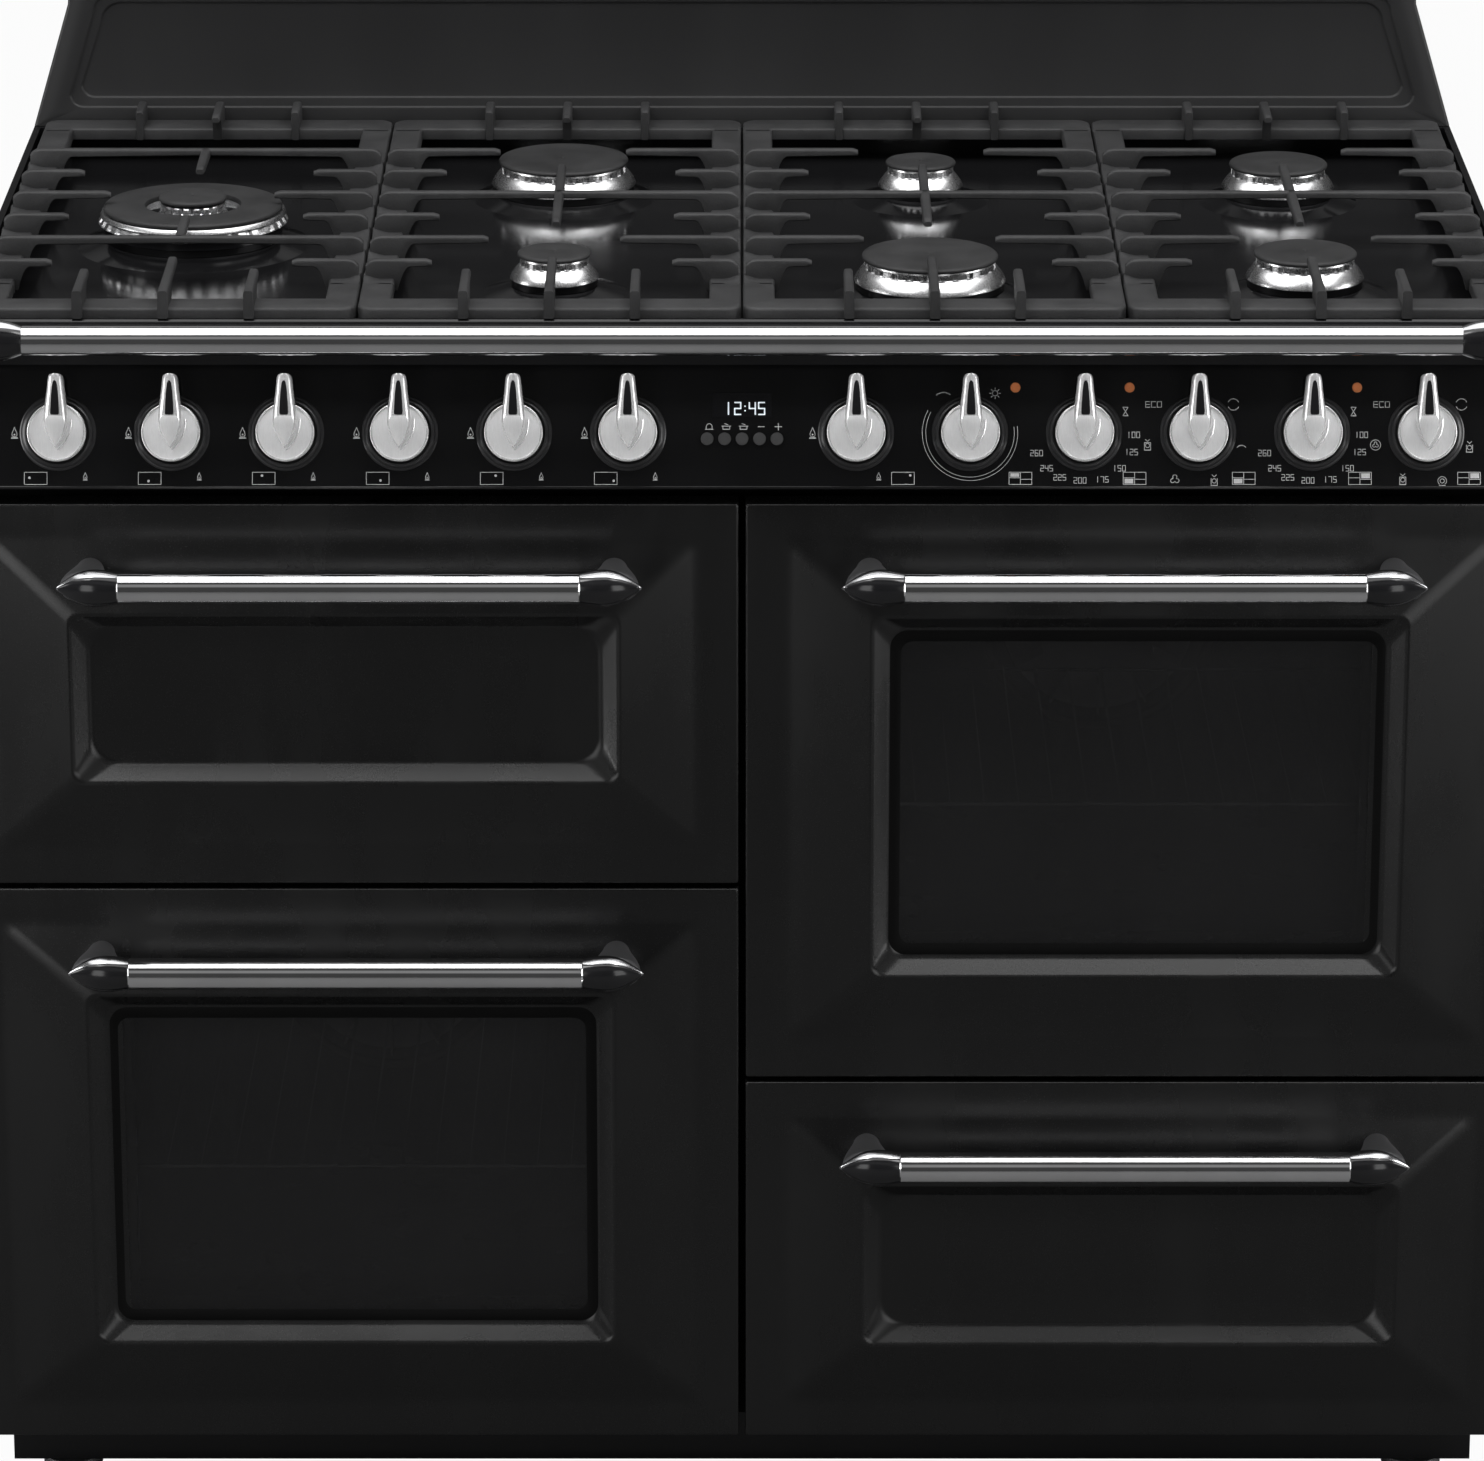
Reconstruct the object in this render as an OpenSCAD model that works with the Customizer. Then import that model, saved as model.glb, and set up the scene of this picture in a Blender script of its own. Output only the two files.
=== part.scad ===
// Dual fuel range cooker with seven gas burners, two glazed ovens, a grill and a storage drawer.
// Origin: middle of the footprint on the floor. X to the right, Y to the rear, Z up. Millimetres.

/* [Body] */
// Overall width
range_w = 1100; // [1080:1:1140]
// Height from the floor to the worktop rim
range_h = 900; // [895:1:915]
// Depth from the door faces to the back
body_d = 600; // [590:1:620]
// Height from the floor to the lower edge of the doors
door_bottom = 51; // [48:1:60]
// Thickness of the body sheets
sheet = 1.5; // [1:0.5:2.5]
// Distance of the rear panel from the back edges of the side panels
rear_inset = 20; // [18:1:24]

/* [Doors] */
// Gap between the two columns of doors
column_gap = 5; // [4:0.5:6]
// Gap between a door and the outer side of the body
side_gap = 1.8; // [1:0.2:3]
// Gap between one door and the door below it
door_gap = 4; // [3.5:0.5:5]
// Height of the grill door
grill_door_h = 283.6; // [275:0.2:290]
// Height of the right oven door
right_door_h = 432.2; // [425:0.2:436]
// Thickness of a door at its liner
door_t = 36; // [34:1:38]
// Depth of the outer pan of a door
pan_d = 22; // [20:1:24]
// Flat border at the sides of a door
border_side = 28; // [24:1:32]
// Flat border above the raised frame
border_top = 26.3; // [24:0.1:30]
// Flat border below the raised frame
border_bottom = 28.4; // [26:0.1:32]
// How far the raised frame stands out of the door
relief_out = 13; // [10:0.5:14]
// Width of the recess of a solid door
solid_recess_w = 383; // [370:1:390]
// Height of the recess of a solid door
solid_recess_h = 122; // [110:1:130]
// Corner radius of the recess of a solid door
solid_recess_r = 19; // [14:1:22]
// Width of the recess of a glazed door
glazed_recess_w = 360; // [350:1:370]
// Height of the recess of a glazed door
glazed_recess_h = 267; // [255:1:275]
// Corner radius of the recess of a glazed door
glazed_recess_r = 14; // [12:1:18]
// Width of the rounded lip around a recess
lip_w = 7; // [5:0.5:8]
// Width of the clear window
window_w = 334; // [320:1:338]
// Height of the clear window
window_h = 233; // [220:1:238]
// Thickness of a glass pane
glass_t = 4; // [3:0.5:5]
// Height of the hinge axis above the lower edge of a door
hinge_up = 20; // [19:0.5:24]
// Distance of the hinge axis behind the face of a door
hinge_in = 10; // [9:0.5:11]
// Radius of a hinge pin
hinge_pin_r = 4; // [3.5:0.5:5]

/* [Handles] */
// Distance of a handle's axis in front of the door
handle_out = 50; // [46:1:56]
// Radius of a handle bar
handle_bar_r = 11.25; // [10:0.25:12]
// Visible length of a handle bar
handle_bar_l = 322; // [300:1:330]
// Length of a handle's end post
handle_post_l = 45; // [40:1:48]
// Largest radius of an end post
handle_post_r = 14; // [13:0.5:15]
// Distance of the handle axis below the top of its door
handle_drop = 46.5; // [44:0.5:50]
// Radius of the neck that joins a handle to its door
handle_neck_r = 7; // [6:0.5:8]
// Distance of the front rail's axis in front of the doors
rail_out = 40; // [36:1:44]
// Radius of the front rail
rail_r = 10.5; // [9:0.5:11]
// Visible length of the front rail
rail_l = 998; // [980:1:1002]
// Distance of the front rail's axis below the worktop rim
rail_drop = 4; // [2:0.5:8]

/* [Control panel] */
// Height of the ventilation slot above the doors
vent_h = 11.3; // [10:0.1:14]
// Lean of the control panel from the vertical, in degrees
panel_lean = 18; // [15:1:20]
// Height of the control panel along its slope
panel_slant = 95; // [93:0.5:97]
// Distance between neighbouring knobs
knob_pitch = 80.3; // [79.9:0.1:84]
// Height of the knob axes along the slope of the panel
knob_up = 40; // [38:0.5:44]
// Radius of a knob's disc
knob_r = 20.75; // [19:0.25:22]
// Thickness of a knob's disc
knob_disc_t = 13; // [11:0.5:15]
// Height of a knob's lever over the panel
knob_h = 25; // [22:0.5:27]
// Reach of the lever from the knob's axis
lever_reach = 39.8; // [36:0.1:39.8]
// Greatest width of the lever
lever_w = 15.6; // [13:0.2:17]
// Radius of a knob's spindle
spindle_r = 3; // [2.5:0.5:4]
// Outer radius of a knob bezel
bezel_r = 27; // [25:0.5:29]
// Height of a knob bezel
bezel_h = 4; // [3:0.5:5]
// Width of the clock window
clock_w = 43; // [40:1:50]
// Height of the clock window
clock_h = 18; // [16:0.5:20]
// Height of the middle of the clock window along the panel
clock_up = 59; // [57:0.5:62]
// Radius of a clock button
button_r = 4.4; // [4:0.2:4.8]
// Distance between neighbouring clock buttons
button_pitch = 12.3; // [11.5:0.1:13]
// Height of the clock buttons along the panel
button_up = 35.3; // [34:0.1:37]
// Travel of a clock button
button_travel = 1.5; // [1:0.1:2]
// Radius of an indicator lamp
lamp_r = 3.4; // [3:0.1:4]

/* [Hob] */
// Depth of the hob's well below the rim
well_depth = 20; // [17:0.5:22]
// Width of the rim around the well
rim_w = 5; // [4:0.5:5.5]
// Height of the fascia under the front rim
fascia_h = 32.3; // [31:0.1:33]
// Distance of the pan supports' fronts behind the doors' faces
grate_front = 6; // [5.8:0.1:8]
// Depth of a pan support, front to back
grate_d = 572; // [560:1:574]
// Distance from one pan support to the next
grate_pitch = 270; // [266:1:271]
// Gap between neighbouring pan supports
grate_gap = 1.2; // [0.8:0.2:3]
// Width of a pan support's front and rear bars
grate_bar = 29; // [24:1:31]
// Width of a pan support's side bars
grate_side = 22.5; // [18:0.5:26]
// Thickness of a pan support's frame
grate_t = 9; // [7:0.5:10]
// Height of the pan supports' frames above the rim
grate_up = 6.8; // [5:0.2:8]
// Height of the fingers' tops above the rim
finger_up = 20.5; // [18:0.5:24]
// Width of a finger
finger_w = 7; // [6:0.5:9]
// Depth of a finger beyond its root
finger_t = 6.5; // [5:0.5:8]
// Distance from one side finger to the next
finger_pitch = 66.7; // [64:0.1:68]
// Reach of a short side finger
finger_short = 49; // [44:1:56]
// Reach of a long side finger
finger_long = 87; // [80:1:90]
// Reach of a long side finger of the wok burner's pan support
finger_wok = 74; // [70:1:78]
// Depth of the splashback's sheet box
splash_t = 17; // [14:1:20]
// Height of the splashback above the rim
splash_h = 130; // [110:1:150]
// Inward slope of the splashback's sides, in degrees from the vertical
splash_slope = 12.4; // [8:0.2:16]

/* [Ovens] */
// Inner width of the ovens and of the grill
cavity_w = 440; // [420:1:450]
// Inner height of an oven
oven_h = 320; // [300:1:326]
// Inner height of the grill cavity
grill_h = 175; // [160:1:185]
// Inner depth of the ovens and of the grill
cavity_d = 410; // [380:1:420]
// Height of the cavity floor above the lower edge of its door
cavity_up = 54; // [52:1:60]
// Radius of the oven fan
fan_r = 75; // [60:1:85]
// Distance between the shelf levels
shelf_pitch = 62; // [55:1:66]
// Inner width of the storage drawer
drawer_w = 410; // [380:1:416]
// Height of the storage drawer's box
drawer_box_h = 170; // [140:1:180]
// Depth of the storage drawer's box
drawer_d = 440; // [400:1:460]

/* [Hidden] */
$fn = 48;

// Clearances
seat = 0.3;          // between parts that rest on each other
running = 0.05;      // radial, round a shaft in its bore
loose = 1;           // round a hole that nothing runs in
cut = 1;             // how far a cutting shape passes a face

// Places along the depth
front_reach = handle_out + handle_post_r;
y_door = (front_reach - body_d) / 2;
y_rear = y_door + body_d;
y_frame = y_door + door_t + 6;
y_back = y_rear - rear_inset - sheet;
gasket_t = 3.6;

// Columns and rows of doors
half_w = range_w / 2;
door_w = (range_w - column_gap) / 2 - side_gap;
column_x = (column_gap + door_w) / 2;
panel_z = range_h - fascia_h - seat - panel_slant * cos(panel_lean);
door_top = panel_z - vent_h;
grill_z = door_top - grill_door_h;
left_door_h = grill_z - door_gap - door_bottom;
right_z = door_top - right_door_h;
drawer_h = right_z - door_gap - door_bottom;
hinge_slot_w = 9;
hinge_arm_w = 8;
hinge_arm_r = 5;
hinge_x = door_w / 2 - 45;
hinge_pin_l = 26;

// Raised frames and liners of the doors
relief_w = door_w - 2 * border_side;
liner_in = 28;
liner_w = door_w - 2 * liner_in;
pane_in = 1;
skin = 2;

// Chassis
base_z = door_bottom;
service_z = door_top + 4;
cavity_wall = 1.5;
flange_w = 12;
top_z = range_h - fascia_h;
bearer_in = 80;
foot_in_x = 50;
foot_in_y = 70;
foot_r = 22;
foot_pad_t = 8;
foot_stem_r = 5;
foot_boss_r = 11;
foot_boss_h = 11;
left_cavity_z = door_bottom + cavity_up;
right_cavity_z = right_z + cavity_up;
grill_cavity_z = grill_z + cavity_up - 4;
drawer_mouth_z = door_bottom + 22;
drawer_mouth_h = drawer_h - 42;
inlet_r = 10.48;
inlet_l = 14;
inlet_x = half_w - 25;
tip_hole_x = 400;
tip_hole_z = 830;
tip_hole_r = 3.3;

// Hob
well_z = range_h - well_depth;
rim_t = 2;
fascia_foot = 32;
nose_r = 4;
splash_y = y_rear - splash_t;
splash_r = 34;
press_r = 16;
press_low_r = 10;
grate_w = grate_pitch - grate_gap;
grate_y = y_door + grate_front;
grate_mid = grate_y + grate_d / 2;
grate_z = range_h + grate_up - grate_t;
finger_z = range_h + finger_up;
front_finger_x = 60;
front_finger_l = 62;
front_middle_l = 96;
rear_finger_l = 31;
rear_middle_l = 48;
lengthwise_l = 176;
root_in = 2;
root_out = 5;
front_hook = 5;
rear_hook = 2;
hook_gap = 0.6;
grate_x = [for (i = [-1.5 : 1 : 1.5]) i * grate_pitch];

// Burners: place across, distance behind the doors' faces, cap radius, spreader radius, cone radius
burner_x = grate_pitch / 2;
wok = [-3 * burner_x, 292, 66, 68, 86];
rapid_r = [49, 54.5, 69];
semi_r = [37, 42.5, 60];
small_r = [26.5, 32, 52];
burners = [
    [-burner_x, 435, rapid_r[0], rapid_r[1], rapid_r[2]],
    [-burner_x, 152, small_r[0], small_r[1], small_r[2]],
    [burner_x, 428, small_r[0], small_r[1], small_r[2]],
    [burner_x, 145, rapid_r[0], rapid_r[1], rapid_r[2]],
    [3 * burner_x, 422, semi_r[0], semi_r[1], semi_r[2]],
    [3 * burner_x, 152, semi_r[0], semi_r[1], semi_r[2]]];
cone_h = 6;
cup_flange_t = 5;
cup_depth = 20;
cup_share = 0.7;
wok_inner_r = 46;
wok_floor_t = 4;
spreader_t = 16;
skirt_w = 7;
cap_t = 4;
wok_hole_r = 40;
wok_cap_hole_r = 35;
wok_core_r = 25;
wok_core_up = 6.5;
cup_z = well_z + cone_h;
spreader_z = cup_z + cup_flange_t;
cap_z = spreader_z + spreader_t;

// Front rail, handles and necks
post_tip = 3;
rail_post_l = 46;
rail_post_r = 15;
rail_z = range_h - rail_drop;
rail_neck_r = 6;
neck_in = 16;

// Control panel
disc_gap = 0.6;
valve_n = 10;
valve_l = 34;
valve_w = 24;
switch_w = 32;
switch_l = 24;
spindle_bore_l = 22;
pipe_r = 8;
pipe_n = valve_n + valve_l;
gas_knob_i = [-6, -5, -4, -3, -2, -1, 1];
switch_knob_i = [2, 3, 4, 5, 6];
lamp_x = [192.6, 273, 433.2];
lamp_up = 71.4;
clock_rim = 6;
clock_t = 14;
button_neck = 1;
button_out = 0.7;
lever_top_w = 7.4;
lever_tip_w = 3.2;
lever_mid_w = 12.2;
lever_point = 10;
lever_base = 11;

// Ovens
rack_wire_r = 2;
shelf_wire_r = 1.5;
bridge_wire_r = 1.6;
rung_wire_r = 1.2;
shelf_wires = 17;
rack_in = 4;
fan_gap = 14;
fan_hub_r = 12;
fan_depth = 22;
fan_blades = 12;
element_r = 3.5;
ring_r = fan_r + 14;
motor_r = 32;
motor_l = 50;
shelf_d = cavity_d - 60;
pan_w = 400;
pan_l = 330;
pan_h = 24;
runner_h = 12;
runner_w = 9;
box_in = 2;
box_z = drawer_mouth_z + 12;
rail_y0 = y_frame + sheet + seat;
runner_z = box_z + 60;

module block(low, high) {
    translate(low) cube(high - low);
}

// A plate of w by h in the XZ plane with round corners, from y = 0 to t
module round_plate(w, h, r, t) {
    translate([0, t, 0]) rotate([90, 0, 0]) linear_extrude(t) union() {
        square([w - 2 * r, h], center = true);
        square([w, h - 2 * r], center = true);
        for (sx = [-1, 1], sz = [-1, 1])
            translate([sx * (w / 2 - r), sz * (h / 2 - r)]) circle(r);
    }
}

// A mitred frustum that stands out towards -Y: base w1 by h1 at y = 0, top w2 by h2 at y = -out
module frustum(w1, h1, w2, h2, out) {
    intersection() {
        translate([0, 0, -h1 / 2]) linear_extrude(h1)
            polygon([[-w1 / 2, 0], [w1 / 2, 0], [w2 / 2, -out], [-w2 / 2, -out]]);
        translate([-w1 / 2, 0, 0]) rotate([90, 0, 90]) linear_extrude(w1)
            polygon([[0, -h1 / 2], [0, h1 / 2], [-out, h2 / 2], [-out, -h2 / 2]]);
    }
}

// Places children on the face of the control panel: X across, Y into the panel, Z up its slope
module on_panel() {
    translate([0, y_door, panel_z]) rotate([-panel_lean, 0, 0]) children();
}

// Places children at knob i, with Z out of the panel and Y up its slope
module at_knob(i) {
    on_panel() translate([i * knob_pitch, 0, knob_up]) rotate([90, 0, 0]) children();
}

function hinge_y() = y_door + hinge_in;

// ---- Doors -----------------------------------------------------------------------------------

// Outer pan, raised frame, liner, hinge slots and handle seats, with the corner at the lower left
module door_body(h, recess_w, recess_h, recess_r, hinged) {
    relief_h = h - border_top - border_bottom;
    relief_z = border_bottom + relief_h / 2;
    liner_z = liner_in + 2;
    difference() {
        union() {
            block([-door_w / 2, 0, 0], [door_w / 2, pan_d, h]);
            translate([0, 0, relief_z])
                frustum(relief_w, relief_h, recess_w + 2 * lip_w, recess_h + 2 * lip_w, relief_out);
            if (hinged)
                block([-liner_w / 2, pan_d - cut, liner_z], [liner_w / 2, door_t, h - liner_in]);
        }
        translate([0, -relief_out - cut, relief_z])
            round_plate(recess_w, recess_h, recess_r, relief_out + cut);
        for (sx = [-1, 1])
            translate([sx * (handle_bar_l / 2 + handle_post_l - neck_in), 0, h - handle_drop])
                rotate([90, 0, 0]) cylinder(r = handle_neck_r + seat / 2, h = relief_out + cut);
        if (hinged) for (sx = [-1, 1]) {
            block([sx * hinge_x - hinge_slot_w / 2, hinge_in - hinge_arm_r - 2, -cut],
                  [sx * hinge_x + hinge_slot_w / 2, door_t + cut, hinge_up + hinge_arm_r + 3]);
            translate([sx * hinge_x - hinge_pin_l / 2 - seat, hinge_in, hinge_up])
                rotate([0, 90, 0]) cylinder(r = hinge_pin_r + running, h = hinge_pin_l + 2 * seat);
        }
        children();
    }
}

// Closed space inside the pan, the liner and the raised frame, clear of the hinges and the recess
module door_space(h, recess_w, recess_h, recess_floor, hinged) {
    relief_h = h - border_top - border_bottom;
    low_z = hinged ? hinge_up + hinge_pin_r + 16 : skin;
    difference() {
        union() {
            block([-door_w / 2 + skin, skin, low_z], [door_w / 2 - skin, pan_d - skin, h - skin]);
            if (hinged)
                block([-liner_w / 2 + skin, pan_d - skin - cut, low_z],
                      [liner_w / 2 - skin, door_t - skin, h - liner_in - skin]);
            translate([0, skin, border_bottom + relief_h / 2])
                frustum(relief_w - 3 * skin, relief_h - 3 * skin, recess_w + lip_w, recess_h + lip_w, relief_out);
        }
        translate([0, 0, border_bottom + relief_h / 2])
            block([-recess_w / 2 - skin, -relief_out - cut, -recess_h / 2 - skin],
                  [recess_w / 2 + skin, recess_floor, recess_h / 2 + skin]);
        for (sx = [-1, 1])
            translate([sx * (handle_bar_l / 2 + handle_post_l - neck_in), skin, h - handle_drop])
                rotate([90, 0, 0]) cylinder(r = handle_neck_r + skin, h = relief_out + cut);
    }
}

module solid_door(h, hinged) {
    door_body(h, solid_recess_w, solid_recess_h, solid_recess_r, hinged)
        door_space(h, solid_recess_w, solid_recess_h, skin, hinged);
}

module glazed_door(h) {
    relief_h = h - border_top - border_bottom;
    door_body(h, glazed_recess_w, glazed_recess_h, glazed_recess_r, true) {
        door_space(h, glazed_recess_w, glazed_recess_h, door_t, true);
        translate([0, 0, border_bottom + relief_h / 2]) {
            translate([0, -cut, 0]) round_plate(window_w, window_h, 6, door_t + 2 * cut);
            translate([0, -cut, 0])
                round_plate(glazed_recess_w, glazed_recess_h, glazed_recess_r, glass_t + seat + cut);
            translate([0, door_t - glass_t - seat, 0])
                round_plate(window_w + 40, window_h + 40, 6, glass_t + seat + cut);
        }
    }
}

// Outer and inner panes of a glazed door
module door_panes(h) {
    translate([0, 0, border_bottom + (h - border_top - border_bottom) / 2]) {
        round_plate(glazed_recess_w - 2 * seat, glazed_recess_h - 2 * seat, glazed_recess_r - seat, glass_t);
        translate([0, door_t - glass_t, 0])
            round_plate(window_w + 40 - 2 * seat, window_h + 40 - 2 * seat, 6 - seat, glass_t);
    }
}

// A leaf-shaped end post along +X, from the bar's end to its outer tip
module post(l, r, bar_r) {
    steps = 6;
    swell = 0.38;
    rotate([0, 90, 0]) rotate_extrude() polygon(concat(
        [[0, 0]],
        [for (i = [0 : steps]) let (t = i / steps) [bar_r + (r - bar_r) * sin(90 * t), swell * l * t]],
        [for (i = [1 : steps]) let (t = i / steps)
            [post_tip + (r - post_tip) * cos(90 * t), l * (swell + (1 - swell) * t)]],
        [[0, l]]));
}

// Bar with two end posts and the necks that reach back to the door's face at y = 0
module handle() {
    translate([0, -handle_out, 0]) {
        translate([-handle_bar_l / 2, 0, 0]) rotate([0, 90, 0]) cylinder(r = handle_bar_r, h = handle_bar_l);
        for (s = [0, 1]) mirror([s, 0, 0])
            translate([handle_bar_l / 2, 0, 0]) post(handle_post_l, handle_post_r, handle_bar_r);
    }
    for (sx = [-1, 1])
        translate([sx * (handle_bar_l / 2 + handle_post_l - neck_in), 0, 0])
            rotate([90, 0, 0]) cylinder(r = handle_neck_r, h = handle_out);
}

module at_door(side, z) {
    translate([side * column_x, y_door, z]) children();
}

module grill_door() {
    color("#111111") at_door(-1, grill_z) solid_door(grill_door_h, true);
}

module grill_door_handle() {
    color("#c8c8c8") at_door(-1, door_top - handle_drop) handle();
}

module left_oven_door() {
    color("#111111") at_door(-1, door_bottom) glazed_door(left_door_h);
}

module left_oven_door_glass() {
    color("#202428") at_door(-1, door_bottom) door_panes(left_door_h);
}

module left_oven_door_handle() {
    color("#c8c8c8") at_door(-1, door_bottom + left_door_h - handle_drop) handle();
}

module right_oven_door() {
    color("#111111") at_door(1, right_z) glazed_door(right_door_h);
}

module right_oven_door_glass() {
    color("#202428") at_door(1, right_z) door_panes(right_door_h);
}

module right_oven_door_handle() {
    color("#c8c8c8") at_door(1, door_top - handle_drop) handle();
}

module drawer_front() {
    color("#111111") at_door(1, door_bottom) solid_door(drawer_h, false);
}

module drawer_handle() {
    color("#c8c8c8") at_door(1, door_bottom + drawer_h - handle_drop) handle();
}

// A hinge arm that reaches from the front frame to the pin in the door's slot
module hinge(x, z) {
    translate([x, 0, z]) {
        translate([-hinge_arm_w / 2, hinge_y(), 0]) rotate([0, 90, 0]) cylinder(r = hinge_arm_r, h = hinge_arm_w);
        block([-hinge_arm_w / 2, hinge_y(), -hinge_arm_r], [hinge_arm_w / 2, y_frame - seat, hinge_arm_r]);
        translate([-hinge_pin_l / 2, hinge_y(), 0]) rotate([0, 90, 0]) cylinder(r = hinge_pin_r, h = hinge_pin_l);
        block([-12, y_frame - seat - sheet, -9], [12, y_frame - seat, 9]);
    }
}

module door_hinges() {
    color("#8a8d90") for (s = [-1, 1]) {
        hinge(-column_x + s * hinge_x, grill_z + hinge_up);
        hinge(-column_x + s * hinge_x, door_bottom + hinge_up);
        hinge(column_x + s * hinge_x, right_z + hinge_up);
    }
}

// ---- Body ------------------------------------------------------------------------------------

// One sheet of the front frame, between two corners in X and Z
module frame_sheet(x0, x1, z0, z1) {
    block([x0 + seat / 2, y_frame, z0 + seat / 2], [x1 - seat / 2, y_frame + sheet, z1 - seat / 2]);
}

module front_frame() {
    outer = half_w - sheet - seat;
    mouth = cavity_w / 2 + cavity_wall + loose;
    mouth_l = column_x + mouth;
    mouth_r = column_x - mouth;
    for (s = [-1, 1]) frame_sheet(min(s * outer, s * mouth_l), max(s * outer, s * mouth_l), base_z, service_z);
    frame_sheet(-mouth_r, mouth_r, base_z, service_z);
    rows_l = [base_z, left_cavity_z, left_cavity_z + oven_h, grill_cavity_z, grill_cavity_z + grill_h, service_z];
    rows_r = [base_z, drawer_mouth_z, drawer_mouth_z + drawer_mouth_h, right_cavity_z,
              right_cavity_z + oven_h, service_z];
    gap = cavity_wall + loose;
    for (i = [0, 2, 4]) {
        frame_sheet(-mouth_l, -mouth_r, rows_l[i] + (i > 0 ? gap : 0), rows_l[i + 1] - (i < 4 ? gap : 0));
        frame_sheet(mouth_r, mouth_l, rows_r[i] + (i > 0 ? gap : 0), rows_r[i + 1] - (i < 4 ? gap : 0));
    }
}

module chassis() {
    inner = half_w - sheet - seat;
    deck_y = y_frame + sheet + seat;
    color("#6d7072") {
        front_frame();
        difference() {
            union() {
                block([-inner, deck_y, base_z], [inner, y_back - seat, base_z + sheet]);
                for (sx = [-1, 1], y = [y_door + foot_in_y, y_rear - foot_in_y])
                    translate([sx * (half_w - foot_in_x), y, base_z - foot_boss_h])
                        cylinder(r = foot_boss_r, h = foot_boss_h + sheet);
            }
            for (sx = [-1, 1], y = [y_door + foot_in_y, y_rear - foot_in_y])
                translate([sx * (half_w - foot_in_x), y, base_z - foot_boss_h - cut])
                    cylinder(r = foot_stem_r + running, h = foot_boss_h + sheet + 2 * cut);
        }
        block([-sheet / 2, deck_y, base_z + sheet + seat], [sheet / 2, y_back - seat, service_z - sheet - seat]);
        difference() {
            block([-inner, deck_y, service_z - sheet], [inner, y_back - seat, service_z]);
            for (x = [-column_x, column_x])
                translate([x, y_frame + cavity_d, service_z - sheet - cut])
                    cylinder(r = 30, h = sheet + 2 * cut);
        }
        for (x = [-grate_pitch, grate_pitch])
            block([x - sheet / 2, deck_y + bearer_in, service_z + seat],
                  [x + sheet / 2, y_back - seat, well_z - rim_t - seat]);
    }
}

module side_panels() {
    color("#131313") for (s = [0, 1]) mirror([s, 0, 0]) union() {
        block([half_w - sheet, y_door + door_t + 2, base_z], [half_w, y_rear, top_z - seat]);
        block([half_w - sheet - 12, y_rear - sheet, base_z], [half_w, y_rear, top_z - seat]);
    }
}

module rear_panel() {
    vent_w = 90;
    vent_t = 5;
    vent_z = 600;
    vent_step = 18;
    vent_rows = 8;
    terminal_low = [-430, 620];
    terminal_high = [-300, 720];
    inner = half_w - sheet - seat;
    color("#77797b") difference() {
        union() {
            block([-inner, y_back, base_z], [inner, y_back + sheet, top_z - seat]);
            block([terminal_low[0], y_back + sheet - cut / 2, terminal_low[1]],
                  [terminal_high[0], y_rear - 4, terminal_high[1]]);
        }
        for (x = [-240, -80, 80, 240], i = [0 : vent_rows - 1]) let (z = vent_z + i * vent_step)
            block([x - vent_w / 2, y_back - cut, z], [x + vent_w / 2, y_back + sheet + cut, z + vent_t]);
        translate([inlet_x, y_back - cut, gas_pipe_z()]) rotate([-90, 0, 0])
            cylinder(r = pipe_r + loose, h = sheet + 2 * cut);
        for (sx = [-1, 1])
            translate([sx * tip_hole_x, y_back - cut, tip_hole_z]) rotate([-90, 0, 0])
                cylinder(r = tip_hole_r, h = sheet + 2 * cut);
    }
}

module plinth() {
    plinth_z = 10;
    plinth_in = 8;
    front = y_frame + plinth_in;
    color("#101010") {
        block([-half_w + plinth_in, front, plinth_z], [half_w - plinth_in, front + sheet, base_z - seat]);
        for (s = [0, 1]) mirror([s, 0, 0])
            block([half_w - plinth_in - sheet, front + sheet + seat, plinth_z],
                  [half_w - plinth_in, y_back, base_z - seat]);
    }
}

module levelling_feet() {
    nut_h = 8;
    color("#202020") for (sx = [-1, 1], y = [y_door + foot_in_y, y_rear - foot_in_y])
        translate([sx * (half_w - foot_in_x), y, 0]) {
            cylinder(r = foot_r, h = foot_pad_t);
            cylinder(r = foot_stem_r, h = base_z + 22);
            translate([0, 0, base_z - foot_boss_h - seat - nut_h]) cylinder(r = 9, h = nut_h, $fn = 6);
        }
}

// Height and depth of the gas pipe behind the knobs
function gas_pipe_z() = panel_z + knob_up * cos(panel_lean) - pipe_n * sin(panel_lean);
function gas_pipe_y() = y_door + knob_up * sin(panel_lean) + pipe_n * cos(panel_lean);

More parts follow.
